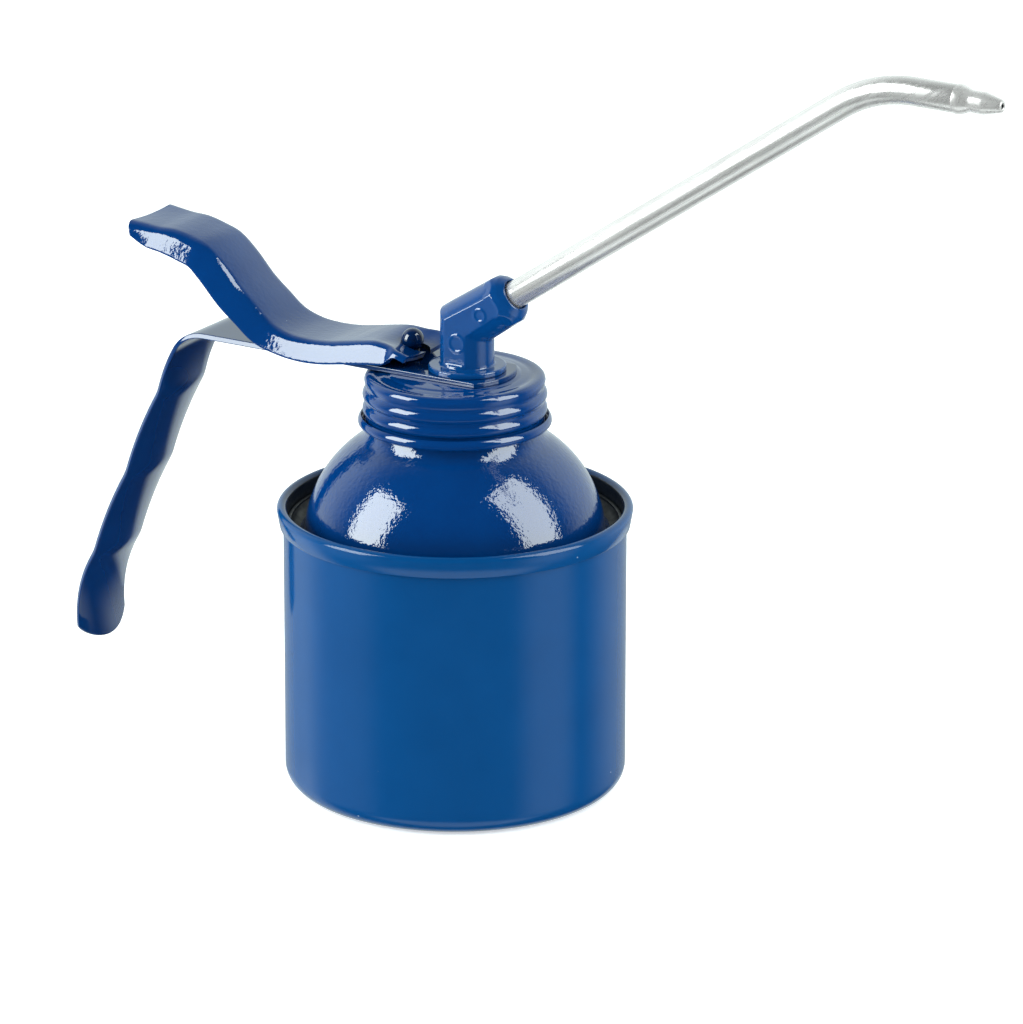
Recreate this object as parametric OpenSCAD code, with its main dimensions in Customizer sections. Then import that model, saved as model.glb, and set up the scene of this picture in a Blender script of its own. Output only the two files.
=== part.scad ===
// Pump oil can: a steel can with a domed top, a thumb-driven plunger pump under its screw cap,
// a strap handle and a rigid angled spout. Handle towards -X, spout towards +X, base on Z = 0.

/* [Can] */
// Outer diameter of the can
can_d = 75; // [70:0.5:90]
// Height of the can from its base to the top of the rim
can_h = 64; // [56:0.1:80]
// Thickness of the can's sheet
can_t = 0.8; // [0.6:0.05:1.1]
// Outer radius between the can's base and wall
can_corner_r = 4.6; // [3:0.1:8]
// How far the rolled rim stands out from the wall
rim_out = 1.4; // [1.2:0.05:2]
// Height of the rolled rim
rim_h = 4.6; // [4:0.1:6]

/* [Dome] */
// Depth of the drip moat below the rim
moat_depth = 6; // [5:0.1:9]
// Width of the drip moat at its floor
moat_w = 3.7; // [3:0.1:6]
// Radius of the dome's rounded shoulder
dome_r = 27; // [24:0.25:29]
// Thickness of the dome's sheet
dome_t = 0.8; // [0.6:0.05:1]
// Clearance between the neck and the cap that screws on it
neck_gap = 0.4; // [0.35:0.05:0.8]
// Height of the neck above the dome
neck_h = 11.8; // [10:0.1:14]

/* [Screw cap] */
// Diameter over the cap's thread crests
cap_d = 40.2; // [40:0.1:42]
// Thickness of the cap's sheet
cap_t = 0.7; // [0.5:0.05:0.8]
// Height that the thread relief stands out
thread_out = 0.7; // [0.5:0.05:0.8]
// Pitch of the cap's thread
thread_pitch = 3.2; // [3:0.05:3.4]
// Diameter of the raised panel on the cap
panel_d = 28; // [26:0.5:32]
// Height of the raised panel
panel_rise = 0.3; // [0.2:0.05:0.6]
// Diameter of the curled hem round the cap's lower edge
hem_d = 42.2; // [42.2:0.1:44]
// Thickness of the gaskets
gasket_t = 1; // [0.6:0.1:1.5]

/* [Handle strap] */
// Width of the handle strap
strap_w = 17.6; // [16:0.2:20]
// Thickness of the handle strap
strap_t = 1.1; // [0.9:0.05:1.5]
// Distance from the can's axis to the top of the grip
grip_reach = 68.6; // [62:0.2:80]
// How far the bend at the top of the grip reaches down
grip_bend = 5; // [4:0.25:7]
// Height of one finger wave down the grip
wave_h = 20.3; // [18:0.1:22]
// How far the grip leans outwards over one wave
wave_lean = 9.1; // [6:0.1:11]
// How far a finger wave bulges
wave_out = 0.65; // [0.4:0.05:1]

/* [Thumb lever] */
// Thickness of the lever's sheet
lever_t = 1.2; // [0.9:0.05:1.3]
// Distance from the can's axis to the lever's fulcrum
fulcrum_x = 34; // [33:0.25:35]
// Height of the lever's plate over the strap at its fulcrum
lever_lift = 2.85; // [2.8:0.05:3.2]
// Height of the thumb rest over the strap
thumb_h = 22.4; // [20:0.2:25]
// Depth of the lever's flanges
flange_depth = 4.7; // [3.5:0.1:5]

/* [Pump] */
// Distance from the can's axis to the plunger
plunger_x = 10.8; // [10.6:0.1:11]
// Diameter of the plunger rod
rod_d = 3; // [2.6:0.1:3.4]
// Diameter of the plunger's ball head
ball_head_d = 5; // [4.8:0.1:5.4]
// Bore of the pump barrel
barrel_bore = 9; // [8.4:0.1:9.4]
// Wall of the pump barrel
barrel_t = 1.1; // [0.9:0.05:1.3]
// Length of the pump barrel below its flange
barrel_l = 36.3; // [34:0.1:42]
// Stroke of the plunger
stroke = 6.5; // [6.5:0.1:7.5]
// Diameter of the valve balls
valve_ball_d = 4; // [3.8:0.1:4.2]
// Lift of the valve balls
valve_lift = 1; // [0.6:0.1:1.2]
// Outer diameter of the suction tube
suction_d = 5; // [4.4:0.1:5.4]
// Clearance between the strainer and the can's base
strainer_gap = 2.2; // [1.5:0.1:6]

/* [Pump head] */
// Distance from the can's axis to the pump head
head_x = 3.15; // [3:0.05:3.6]
// Diameter of the head's flange
flange_d = 17; // [16:0.2:18]
// Thickness of the head's flange
flange_t = 1.25; // [1:0.05:2]
// Diameter of the head's leg
leg_d = 11.8; // [11.4:0.1:12.2]
// Height of the elbow's corner above the flange
elbow_h = 9.1; // [9:0.1:14]
// Length of the head's arm from the elbow's corner
arm_l = 14.9; // [14.5:0.1:20]
// Width across flats of the arm's octagonal nose
nose_af = 11; // [10.6:0.1:11.4]

/* [Spout] */
// Slope of the spout from the head
spout_slope = 34; // [25:0.5:45]
// Slope of the spout's last stretch
tip_slope = -1; // [-10:0.5:5]
// Length from the elbow's corner to the corner of the spout's bend
spout_l = 118.75; // [100:0.25:150]
// Length from the bend's corner to the end of the tube
tip_l = 18.9; // [14:0.1:30]
// Radius of the spout's bend
bend_r = 30; // [20:0.5:35]
// Outer diameter of the spout tube
tube_d = 6; // [5.6:0.1:6.4]
// Wall of the spout tube
tube_t = 0.8; // [0.6:0.05:1]
// Length of the nozzle beyond the tube
nozzle_l = 10.6; // [9:0.1:14]
// Diameter of the nozzle's orifice
orifice_d = 1.2; // [0.8:0.1:1.6]

/* [Hidden] */
$fn = 96;

// Clearances
running_gap = 0.05;
seat_gap = 0.05;
loose_gap = 0.3;

// Heights, from the base upwards
rim_roll_r = (can_t + rim_out) / 2;
can_r = can_d / 2;
can_inner_r = can_r - can_t;
moat_z = can_h - moat_depth;
dome_base_r = can_inner_r - moat_w;
dome_centre_z = moat_z - 2;
dome_axis_r = dome_base_r - dome_r;
neck_r = cap_d / 2 - thread_out - cap_t - neck_gap;
neck_base_z = dome_centre_z + sqrt(dome_r * dome_r - pow(neck_r - dome_axis_r, 2));
neck_top_z = neck_base_z + neck_h;
cap_valley_r = cap_d / 2 - thread_out;
cap_inner_r = cap_valley_r - cap_t;
cap_under_z = neck_top_z + gasket_t;
cap_top_z = cap_under_z + cap_t;
panel_z = cap_top_z + panel_rise;
panel_under_z = panel_z - cap_t;
strap_z = panel_z + strap_t;
head_z = strap_z + flange_t;
elbow_z = head_z + elbow_h;

// Points on a round bulge between two points of an outline
function bulge(p, q, out, n = 8) =
    let (
        c = norm(q - p),
        r = (c * c / 4 + out * out) / (2 * out),
        half = asin(min(1, c / (2 * r))),
        u = (q - p) / c,
        v = [u[1], -u[0]],
        m = (p + q) / 2 - v * (r - out)
    )
    [for (i = [0 : n - 1]) let (a = -half + 2 * half * i / n) m + r * (u * sin(a) + v * cos(a))];

// Unit direction along an outline at one of its points
function along(p, i) =
    let (d = p[min(i + 1, len(p) - 1)] - p[max(i - 1, 0)]) d / norm(d);

// An outline moved sideways by its sheet's thickness
function beside(p, t) = [for (i = [0 : len(p) - 1]) let (d = along(p, i)) p[i] + t * [-d[1], d[0]]];

// A smooth curve through chosen points
function curve_at(p, i, f) =
    let (
        a = p[max(i - 1, 0)],
        b = p[i],
        c = p[min(i + 1, len(p) - 1)],
        d = p[min(i + 2, len(p) - 1)]
    )
    0.5 * (2 * b + (c - a) * f + (2 * a - 5 * b + 4 * c - d) * f * f + (3 * b - a - 3 * c + d) * f * f * f);
function curve(p, n) =
    concat([for (i = [0 : len(p) - 2], k = [0 : n - 1]) curve_at(p, i, k / n)], [p[len(p) - 1]]);

// Round body with a rounded lower edge
module cup(r, corner_r, z0, z1) {
    rotate_extrude() {
        translate([0, z0]) square([r - corner_r, z1 - z0]);
        translate([0, z0 + corner_r]) square([r, z1 - z0 - corner_r]);
        translate([r - corner_r, z0 + corner_r]) intersection() {
            circle(corner_r);
            translate([0, -corner_r]) square(corner_r);
        }
    }
}

// Flat ring
module ring(r1, r2, z0, z1) {
    translate([0, 0, z0]) difference() {
        cylinder(r = r2, h = z1 - z0);
        translate([0, 0, -1]) cylinder(r = r1, h = z1 - z0 + 2);
    }
}

// Upright hole or post at a place on the X axis
module post(x, r, z0, z1) {
    translate([x, 0, z0]) cylinder(r = r, h = z1 - z0);
}

// Can
module rim_roll() {
    roll_z = can_h - rim_roll_r;
    leg_t = 0.55;
    leg_in = 0.6;
    outer_r = can_r + rim_out;
    rotate_extrude() difference() {
        union() {
            translate([can_inner_r + rim_roll_r, roll_z]) circle(rim_roll_r);
            polygon([
                [can_inner_r, roll_z], [outer_r, roll_z],
                [outer_r - leg_in, can_h - rim_h], [can_inner_r, can_h - rim_h]
            ]);
        }
        translate([can_inner_r + rim_roll_r, roll_z]) circle(rim_roll_r - leg_t);
        polygon([
            [can_r, roll_z], [outer_r - leg_t, roll_z],
            [outer_r - leg_in - leg_t, can_h - rim_h - 1], [can_r, can_h - rim_h - 1]
        ]);
    }
}

module can_body() {
    color([0.05, 0.30, 0.55]) union() {
        difference() {
            cup(can_r, can_corner_r, 0, can_h - rim_roll_r);
            cup(can_inner_r, can_corner_r - can_t, can_t, can_h + 1);
        }
        rim_roll();
    }
}

// Dome with its moat floor, upturned edge and threaded neck
module dome() {
    edge_h = 2.2;
    shell_low = moat_z - dome_t;
    color([0.03, 0.27, 0.55]) {
        rotate_extrude() {
            difference() {
                intersection() {
                    translate([dome_axis_r, dome_centre_z]) circle(dome_r, $fn = 180);
                    translate([neck_r - dome_t, shell_low]) square([dome_r * 2, dome_r]);
                }
                translate([dome_axis_r, dome_centre_z]) circle(dome_r - dome_t, $fn = 180);
            }
            translate([neck_r - dome_t, neck_base_z - 0.6]) square([dome_t, neck_h + 0.6]);
            translate([dome_base_r - dome_t / 2, shell_low]) square([moat_w + dome_t / 2 - seat_gap, dome_t]);
            translate([can_inner_r - seat_gap - dome_t, shell_low]) square([dome_t, dome_t + edge_h]);
            for (i = [0 : 1]) translate([neck_r - 0.5, neck_top_z - 2.4 - i * thread_pitch]) circle(0.7);
        }
    }
}

module seam_seal() {
    r = can_inner_r - seat_gap - dome_t;
    color([0.06, 0.06, 0.07]) rotate_extrude() polygon([
        [r - 2.2, moat_z], [r, moat_z], [r, moat_z + 1.7], [r - 0.5, moat_z + 0.9], [r - 1.2, moat_z + 0.4]
    ]);
}

// Screw cap, with a hem turned outwards and up round its lower edge
hem_z = cap_top_z - 12.8;
hem_leg_h = 2.5;
hem_r = (hem_d / 2 - cap_inner_r) / 2;
hem_sheet_t = 0.6;
ridge_r = 1.3;
ridge_axis_r = cap_d / 2 - ridge_r;
ridge_steps_in = [0.4, 0, 0];
module cap_ridges(r) {
    for (i = [0 : 2]) translate([ridge_axis_r - ridge_steps_in[i], cap_top_z - ridge_r - i * thread_pitch]) circle(r);
}

module cap_section() {
    fold = [cap_inner_r + hem_r, hem_z + hem_r];
    leg_top = fold[1] + hem_leg_h;
    lean = 0.35;
    difference() {
        union() {
            translate([0, fold[1]]) square([cap_valley_r, cap_top_z - ridge_r - fold[1]]);
            translate([0, cap_top_z - ridge_r]) square([ridge_axis_r - ridge_steps_in[0], ridge_r]);
            cap_ridges(ridge_r);
            polygon([
                [0, cap_top_z], [panel_d / 2 + panel_rise, cap_top_z], [panel_d / 2, panel_z], [0, panel_z]
            ]);
            intersection() {
                translate(fold) circle(hem_r);
                translate([0, hem_z - 1]) square([hem_d, hem_r + 1]);
            }
            polygon([
                [fold[0] + hem_r, fold[1]], [fold[0] + hem_r - lean, leg_top],
                [fold[0] + hem_r - lean - hem_sheet_t, leg_top], [fold[0] + hem_r - hem_sheet_t, fold[1]]
            ]);
        }
        translate([0, hem_z - 1]) square([cap_inner_r, cap_under_z - hem_z + 1]);
        translate([0, cap_under_z - 1]) square([panel_d / 2 - 0.4, panel_under_z - cap_under_z + 1]);
        cap_ridges(ridge_r - cap_t);
        intersection() {
            translate(fold) circle(hem_r - hem_sheet_t);
            translate([cap_valley_r, hem_z]) square([hem_d, hem_r + 0.1]);
        }
    }
}

module screw_cap() {
    color([0.03, 0.27, 0.55]) difference() {
        rotate_extrude() cap_section();
        pump_holes(panel_under_z - 1, panel_z + 1);
    }
}

// The two holes that cap, strap and gasket share
stub_r = 5;
module pump_holes(z0, z1) {
    post(head_x, stub_r + seat_gap, z0, z1);
    post(-plunger_x, rod_d / 2 + 0.7, z0, z1);
}

module cap_gasket() {
    color([0.12, 0.12, 0.12]) ring(neck_r - 1.6, neck_r + 0.2, neck_top_z, cap_under_z);
}

body_top_z = panel_under_z - gasket_t;
body_plate_t = 3;
body_plate_r = panel_d / 2 - 0.7;
module body_gasket() {
    color([0.45, 0.36, 0.26]) difference() {
        post(0, body_plate_r, body_top_z, panel_under_z);
        pump_holes(body_top_z - 1, panel_under_z + 1);
    }
}

// Handle strap, as the outline of its outer face seen from the side
function grip_valley(i) = [-grip_reach - 4 - wave_lean * i, strap_z - 15.2 - wave_h * i];
grip_end = grip_valley(2) + [-4.2, -wave_h - 2.8];
grip_end_drop = 4.3;
strap_front_r = 13.5;
strap_outline = concat(
    [[strap_front_r + 1, strap_z]],
    bulge([-grip_reach + 8.1, strap_z], [-grip_reach, strap_z - grip_bend], 1.35),
    bulge([-grip_reach, strap_z - grip_bend], grip_valley(0), 0.4, 5),
    bulge(grip_valley(0), grip_valley(1), wave_out),
    bulge(grip_valley(1), grip_valley(2), wave_out),
    bulge(grip_valley(2), grip_end, 2.5, 12),
    [grip_end]
);

// Round bead pressed up across the strap, on which the lever rocks
bead_r = lever_lift - lever_t - seat_gap;
module handle_strap() {
    inner = beside(strap_outline, strap_t);
    n = len(inner);
    end_r = (pow(strap_w / 2, 2) + pow(grip_end_drop, 2)) / (2 * grip_end_drop);
    end_z = grip_end[1];
    color([0.03, 0.27, 0.55]) difference() {
        union() {
            intersection() {
                rotate([90, 0, 0]) linear_extrude(strap_w, center = true)
                    polygon(concat(strap_outline, [for (i = [0 : n - 1]) inner[n - 1 - i]]));
                union() {
                    post(0, strap_front_r, 0, strap_z + 1);
                    translate([-200, -strap_w, 0]) cube([200, 2 * strap_w, strap_z + 1]);
                }
                union() {
                    translate([-200, -strap_w, end_z + end_r]) cube([300, 2 * strap_w, strap_z]);
                    translate([-200, 0, end_z + end_r]) rotate([0, 90, 0]) cylinder(r = end_r, h = 300);
                }
            }
            translate([-fulcrum_x, 0, strap_z]) rotate([90, 0, 0]) difference() {
                cylinder(r = bead_r, h = strap_w - 3, center = true);
                translate([-bead_r - 1, -bead_r - 1, -strap_w]) cube([2 * bead_r + 2, bead_r + 1 - 0.1, 2 * strap_w]);
            }
        }
        pump_holes(panel_z - 1, strap_z + 1);
        translate([-fulcrum_x, 0, panel_z - 1]) rotate([90, 0, 0]) hollow_under_bead();
    }
}

module hollow_under_bead() {
    linear_extrude(strap_w - 5, center = true) union() {
        translate([-bead_r + strap_t, 0]) square([2 * (bead_r - strap_t), 1 + strap_t]);
        translate([0, 1 + strap_t]) circle(bead_r - strap_t);
    }
}

// Thumb lever: one row of values for each station along its plate
// [x, height over the strap, flange depth, shoulder radius, crown]
lever_w = strap_w + 2 * lever_t + 0.2;
thumb_rows = [
    [-79.5, thumb_h + 0.6, flange_depth - 1.9, 1.6, -0.3],
    [-77.0, thumb_h + 0.4, flange_depth - 1.0, 2.0, -0.2],
    [-73.0, thumb_h, flange_depth - 0.3, 2.2, 0],
    [-68.8, thumb_h - 0.1, flange_depth + 0.3, 2.5, 0],
    [-64.5, thumb_h - 1.0, flange_depth + 0.5, 2.8, 0.1],
    [-60.0, thumb_h - 2.6, flange_depth + 0.5, 3.0, 0.2],
    [-55.6, thumb_h - 6.2, flange_depth + 0.7, 3.0, 0.2]
];
neck_rows = [
    [-51.4, lever_lift + 8.8, flange_depth + 0.6, 3.0, 0.2],
    [-47.3, lever_lift + 5.3, flange_depth + 0.4, 2.8, 0.2],
    [-43.5, lever_lift + 2.2, flange_depth + 0.2, 2.4, 0.1]
];
front_rows = [
    [-39.0, lever_lift + 0.5, flange_depth - 0.2, 2.0, 0],
    [-34.0, lever_lift, flange_depth - 0.1, 1.8, 0],
    [-29.0, lever_lift + 0.2, flange_depth - 0.1, 1.6, 0],
    [-24.5, lever_lift + 0.9, flange_depth - 0.1, 1.6, 0],
    [-20.0, lever_lift + 1.7, flange_depth, 1.5, 0],
    [-16.0, lever_lift + 2.25, flange_depth, 1.5, -0.35],
    [-12.0, lever_lift + 1.95, flange_depth - 0.8, 1.4, -1.05],
    [-9.6, lever_lift + 1.5, flange_depth - 3.2, 1.35, -1.3],
    [-7.6, lever_lift + 1.0, 1.4, 1.35, -1.2],
    [-6.5, lever_lift + 0.6, 1.4, 1.35, -1.05]
];
lever_rows = curve(concat(thumb_rows, neck_rows, front_rows), 2);

// One half of a station's outer outline, from the flange's foot to the plate's middle
function half_outline(w, depth, r, crown) = concat(
    [[w, -depth]],
    [for (i = [0 : 4]) let (a = 22.5 * i) [w - r + r * cos(a), -r + r * sin(a)]],
    [for (i = [1 : 3]) let (f = i / 3) [(w - r) * (1 - f), crown * (1 - pow(1 - f, 2))]]
);
function whole_outline(h) = concat(h, [for (i = [len(h) - 2 : -1 : 0]) [-h[i][0], h[i][1]]]);
function lever_path(i) = [lever_rows[i][0], lever_rows[i][1] + strap_z];
function lever_along(i) =
    let (d = lever_path(min(i + 1, len(lever_rows) - 1)) - lever_path(max(i - 1, 0))) d / norm(d);

function lever_ring(i) =
    let (
        row = lever_rows[i],
        outer = whole_outline(half_outline(lever_w / 2, row[2], row[3], row[4])),
        inner = whole_outline(half_outline(
            lever_w / 2 - lever_t, row[2] - lever_t, max(row[3] - lever_t, 0.1), row[4])),
        d = lever_along(i),
        c = lever_path(i),
        last = len(inner) - 1
    )
    [for (q = concat(outer, [for (k = [last : -1 : 0]) inner[k] - [0, lever_t]]))
        let (p = c + q[1] * [-d[1], d[0]])
        [p[0], q[0], p[1]]];

module lever_sheet() {
    stations = len(lever_rows);
    ring_n = len(lever_ring(0));
    half = ring_n / 2;
    points = [for (i = [0 : stations - 1]) each lever_ring(i)];
    sides = [for (i = [0 : stations - 2], k = [0 : ring_n - 1]) let (k2 = (k + 1) % ring_n) each [
        [i * ring_n + k, i * ring_n + k2, (i + 1) * ring_n + k2],
        [i * ring_n + k, (i + 1) * ring_n + k2, (i + 1) * ring_n + k]
    ]];
    ends = [for (k = [0 : half - 2]) let (a = k, b = k + 1, c = ring_n - 2 - k, d = ring_n - 1 - k, e = (stations - 1) * ring_n)
        each [[a, d, c], [a, c, b], [e + a, e + b, e + c], [e + a, e + c, e + d]]];
    polyhedron(points, concat(sides, ends));
}

// Slot under the plunger's ball head, and the plate's height there
slot_w = ball_head_d - 0.2;
slot_ends = [-plunger_x - 0.2, -plunger_x + 1.7];
slot_plate_h = lever_lift + 0.85;
module thumb_lever() {
    color([0.03, 0.27, 0.55]) difference() {
        lever_sheet();
        for (x = slot_ends) post(x, slot_w / 2, strap_z, strap_z + 12);
        translate([slot_ends[0], -slot_w / 2, strap_z]) cube([slot_ends[1] - slot_ends[0], slot_w, 12]);
    }
}

// Plunger, from its ball head down to its nut
piston_h = 5;
spring_closed_l = 10.9;
piston_z = body_top_z - body_plate_t - stroke - spring_closed_l - piston_h;
piston_r = 3.6;
cup_floor_t = 0.9;
cup_h = 3.4;
washer_t = 0.8;
nut_h = 2.2;
nut_af = 5.5;
ball_head_z = strap_z + slot_plate_h + sqrt(pow(ball_head_d, 2) - pow(slot_w, 2)) / 2 + seat_gap;
module plunger_rod() {
    color([0.02, 0.12, 0.30]) union() {
        post(-plunger_x, rod_d / 2, piston_z - cup_floor_t - washer_t - nut_h - 0.6, ball_head_z);
        translate([-plunger_x, 0, ball_head_z]) sphere(d = ball_head_d);
    }
}

module rod_seal() {
    color([0.1, 0.1, 0.1]) translate([-plunger_x, 0, 0])
        ring(rod_d / 2 + running_gap, seal_r - seat_gap, body_top_z - seal_h, body_top_z);
}

module piston() {
    color([0.75, 0.62, 0.30]) translate([-plunger_x, 0, 0]) ring(rod_d / 2, piston_r, piston_z, piston_z + piston_h);
}

module piston_cup() {
    color([0.10, 0.10, 0.10]) translate([-plunger_x, 0, 0]) difference() {
        post(0, barrel_bore / 2 - running_gap, piston_z - cup_floor_t, piston_z - cup_floor_t + cup_h);
        post(0, piston_r + 0.1, piston_z, piston_z + cup_h);
        post(0, rod_d / 2, piston_z - cup_floor_t - 1, piston_z + 1);
    }
}

module cup_washer() {
    color([0.70, 0.70, 0.72]) translate([-plunger_x, 0, 0])
        ring(rod_d / 2, 3.4, piston_z - cup_floor_t - washer_t, piston_z - cup_floor_t);
}

module piston_nut() {
    z = piston_z - cup_floor_t - washer_t - nut_h;
    color([0.70, 0.70, 0.72]) translate([-plunger_x, 0, z]) difference() {
        cylinder(r = nut_af / 2 / cos(30), h = nut_h, $fn = 6);
        translate([0, 0, -1]) cylinder(d = rod_d, h = nut_h + 2);
    }
}

// Coil spring swept round an upright axis
module coil(mean_r, wire_d, z0, z1, turns, steps) {
    sides = 6;
    rings = turns * steps;
    rise = (z1 - z0 - wire_d) / rings;
    points = [for (i = [0 : rings], k = [0 : sides - 1])
        let (a = 360 * i / steps, b = 360 * k / sides, r = mean_r + wire_d / 2 * cos(b))
        [r * cos(a), r * sin(a), z0 + wire_d / 2 + rise * i + wire_d / 2 * sin(b)]];
    faces = concat(
        [for (i = [0 : rings - 1], k = [0 : sides - 1]) let (k2 = (k + 1) % sides) each [
            [i * sides + k, i * sides + k2, (i + 1) * sides + k2],
            [i * sides + k, (i + 1) * sides + k2, (i + 1) * sides + k]
        ]],
        [[for (k = [sides - 1 : -1 : 0]) k], [for (k = [0 : sides - 1]) rings * sides + k]]
    );
    polyhedron(points, faces);
}

module piston_spring() {
    color([0.70, 0.70, 0.72]) translate([-plunger_x, 0, 0])
        coil(2.9, 0.8, piston_z + piston_h + seat_gap, body_top_z - body_plate_t - seat_gap, 7, 14);
}

// Pump body: flange, barrel, riser boss and the web between them
barrel_r = barrel_bore / 2 + barrel_t;
barrel_z = body_top_z - body_plate_t - barrel_l;
seal_r = 3;
seal_h = 1.8;
stub_l = 8.2;
seat_hole_r = 1.4;
outlet_seat_z = strap_z - stub_l - 0.2;
port_z = outlet_seat_z - 2;
port_r = 1.1;
riser_r = 6.3;
module pump_body() {
    plate_z = body_top_z - body_plate_t;
    boss_z = port_z - 3;
    color([0.62, 0.63, 0.65]) difference() {
        union() {
            post(0, body_plate_r, plate_z, body_top_z);
            post(-plunger_x, barrel_r, barrel_z, body_top_z);
            post(head_x, riser_r, boss_z, body_top_z);
            translate([-plunger_x, -3, boss_z]) cube([plunger_x + head_x, 6, body_top_z - boss_z]);
        }
        post(-plunger_x, barrel_bore / 2, barrel_z - 1, plate_z);
        post(-plunger_x, rod_d / 2 + running_gap, plate_z - 1, body_top_z + 1);
        post(-plunger_x, seal_r, body_top_z - seal_h, body_top_z + 1);
        post(head_x, stub_r + running_gap, outlet_seat_z, body_top_z + 1);
        post(head_x, seat_hole_r, port_z - port_r, outlet_seat_z + 1);
        translate([-plunger_x, 0, port_z]) rotate([0, 90, 0]) cylinder(r = port_r, h = plunger_x + head_x);
    }
}

// Foot valve: spigot in the barrel, ball chamber, seat and socket for the suction tube
spigot_h = 5.9;
chamber_r = valve_ball_d / 2 + 0.6;
foot_seat_z = barrel_z + 0.5;
socket_depth = 6;
foot_low_z = barrel_z - 8;
retainer_r = 3.4;
retainer_t = 0.8;
function ball_rise(r, hole) = sqrt(r * r - hole * hole);
suction_ball_z = foot_seat_z + ball_rise(valve_ball_d / 2, seat_hole_r) + seat_gap;
retainer_z = barrel_z + spigot_h - retainer_t;
module foot_valve_body() {
    color([0.75, 0.62, 0.30]) translate([-plunger_x, 0, 0]) difference() {
        union() {
            post(0, barrel_bore / 2 - seat_gap, barrel_z, barrel_z + spigot_h);
            post(0, barrel_r, barrel_z - 2, barrel_z);
            post(0, suction_d / 2 + 1.4, foot_low_z, barrel_z - 2);
        }
        post(0, chamber_r, foot_seat_z, barrel_z + spigot_h + 1);
        post(0, retainer_r, retainer_z, barrel_z + spigot_h + 1);
        post(0, seat_hole_r, foot_low_z, foot_seat_z + 1);
        post(0, suction_d / 2, foot_low_z - 1, foot_low_z + socket_depth);
    }
}

module suction_valve_ball() {
    color([0.80, 0.80, 0.82]) translate([-plunger_x, 0, suction_ball_z]) sphere(d = valve_ball_d);
}

module ball_retainer() {
    color([0.75, 0.62, 0.30]) translate([-plunger_x, 0, 0]) difference() {
        post(0, retainer_r - seat_gap, retainer_z, retainer_z + retainer_t);
        for (a = [0 : 120 : 240]) rotate([0, 0, a]) post(1.7, 0.7, retainer_z - 1, retainer_z + 2);
    }
}

strainer_r = suction_d / 2 + 0.9;
strainer_z = can_t + strainer_gap;
strainer_h = 6;
module suction_tube() {
    color([0.72, 0.73, 0.75]) translate([-plunger_x, 0, 0])
        ring(suction_d / 2 - 0.8, suction_d / 2, strainer_z + 2, foot_low_z + socket_depth);
}

module strainer() {
    color([0.75, 0.62, 0.30]) translate([-plunger_x, 0, 0]) difference() {
        post(0, strainer_r, strainer_z, strainer_z + strainer_h);
        post(0, suction_d / 2, strainer_z + 0.8, strainer_z + strainer_h + 1);
        for (a = [0 : 60 : 300]) rotate([0, 0, a]) post(1.5, 0.4, strainer_z - 1, strainer_z + 2);
        post(0, 0.4, strainer_z - 1, strainer_z + 2);
    }
}

// Outlet valve, held in the head's stub
outlet_ball_z = outlet_seat_z + ball_rise(valve_ball_d / 2, seat_hole_r) + seat_gap;
outlet_spring_top = strap_z - 1;
module outlet_valve_ball() {
    color([0.80, 0.80, 0.82]) translate([head_x, 0, outlet_ball_z]) sphere(d = valve_ball_d);
}

module outlet_spring() {
    color([0.70, 0.70, 0.72]) translate([head_x, 0, 0])
        coil(1.5, 0.4, outlet_ball_z + 1.45, outlet_spring_top - seat_gap, 4, 12);
}

// Places along the head's arm and spout
module on_arm(s) {
    translate([head_x, 0, elbow_z]) rotate([0, 90 - spout_slope, 0]) translate([0, 0, s]) children();
}

// Half-space on one side of the elbow's mitre
module mitre_side(up) {
    size = 80;
    translate([head_x, 0, elbow_z]) rotate([0, (90 - spout_slope) / 2, 0])
        translate([-size / 2, -size / 2, up ? 0 : -size]) cube(size);
}

pad_y = 5.3;
pad_half = 2.85;
pad_low = 0.7;
pad_l = 12.4;
nose_s = 11;
nose_l = arm_l - nose_s;
mouth_l = 1;
socket_l = 9;
oilway_r = 2;
arm_end_r = 5.6;

// Corner of the pad at one side of the leg: where its upright edge meets the edge along the arm
function pad_corner(side) =
    [head_x + side * pad_half, elbow_z - side * pad_half * tan((90 - spout_slope) / 2)];
function arm_point(s, off) =
    [head_x, elbow_z] + s * [cos(spout_slope), sin(spout_slope)] + off * [-sin(spout_slope), cos(spout_slope)];
module pad() {
    polygon([
        [head_x - pad_half, head_z + pad_low], pad_corner(-1), arm_point(pad_l, pad_half - 0.5),
        arm_point(pad_l + 0.1, -1.4), arm_point(pad_l - 0.8, 0.6 - pad_half), pad_corner(1),
        [head_x + pad_half, head_z + pad_low]
    ]);
}

module cast_ring(at, r) {
    translate([at[0], 0, at[1]]) rotate([90, 0, 0]) difference() {
        cylinder(r = r, h = 2 * pad_y + 0.3, center = true);
        cylinder(r = r - 0.3, h = 2 * pad_y + 1, center = true);
    }
}

module nose() {
    flat_r = nose_af / 2;
    intersection() {
        on_arm(nose_s - 1) rotate([0, 0, 22.5]) cylinder(r = flat_r / cos(22.5), h = nose_l + 2, $fn = 8);
        on_arm(nose_s) rotate_extrude() polygon([
            [0, -0.5], [flat_r + 0.3, -0.5], [flat_r + 0.3, nose_l - 2.6], [flat_r - 0.55, nose_l - 1.2],
            [flat_r - 1.85, nose_l], [0, nose_l]
        ]);
    }
}

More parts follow.
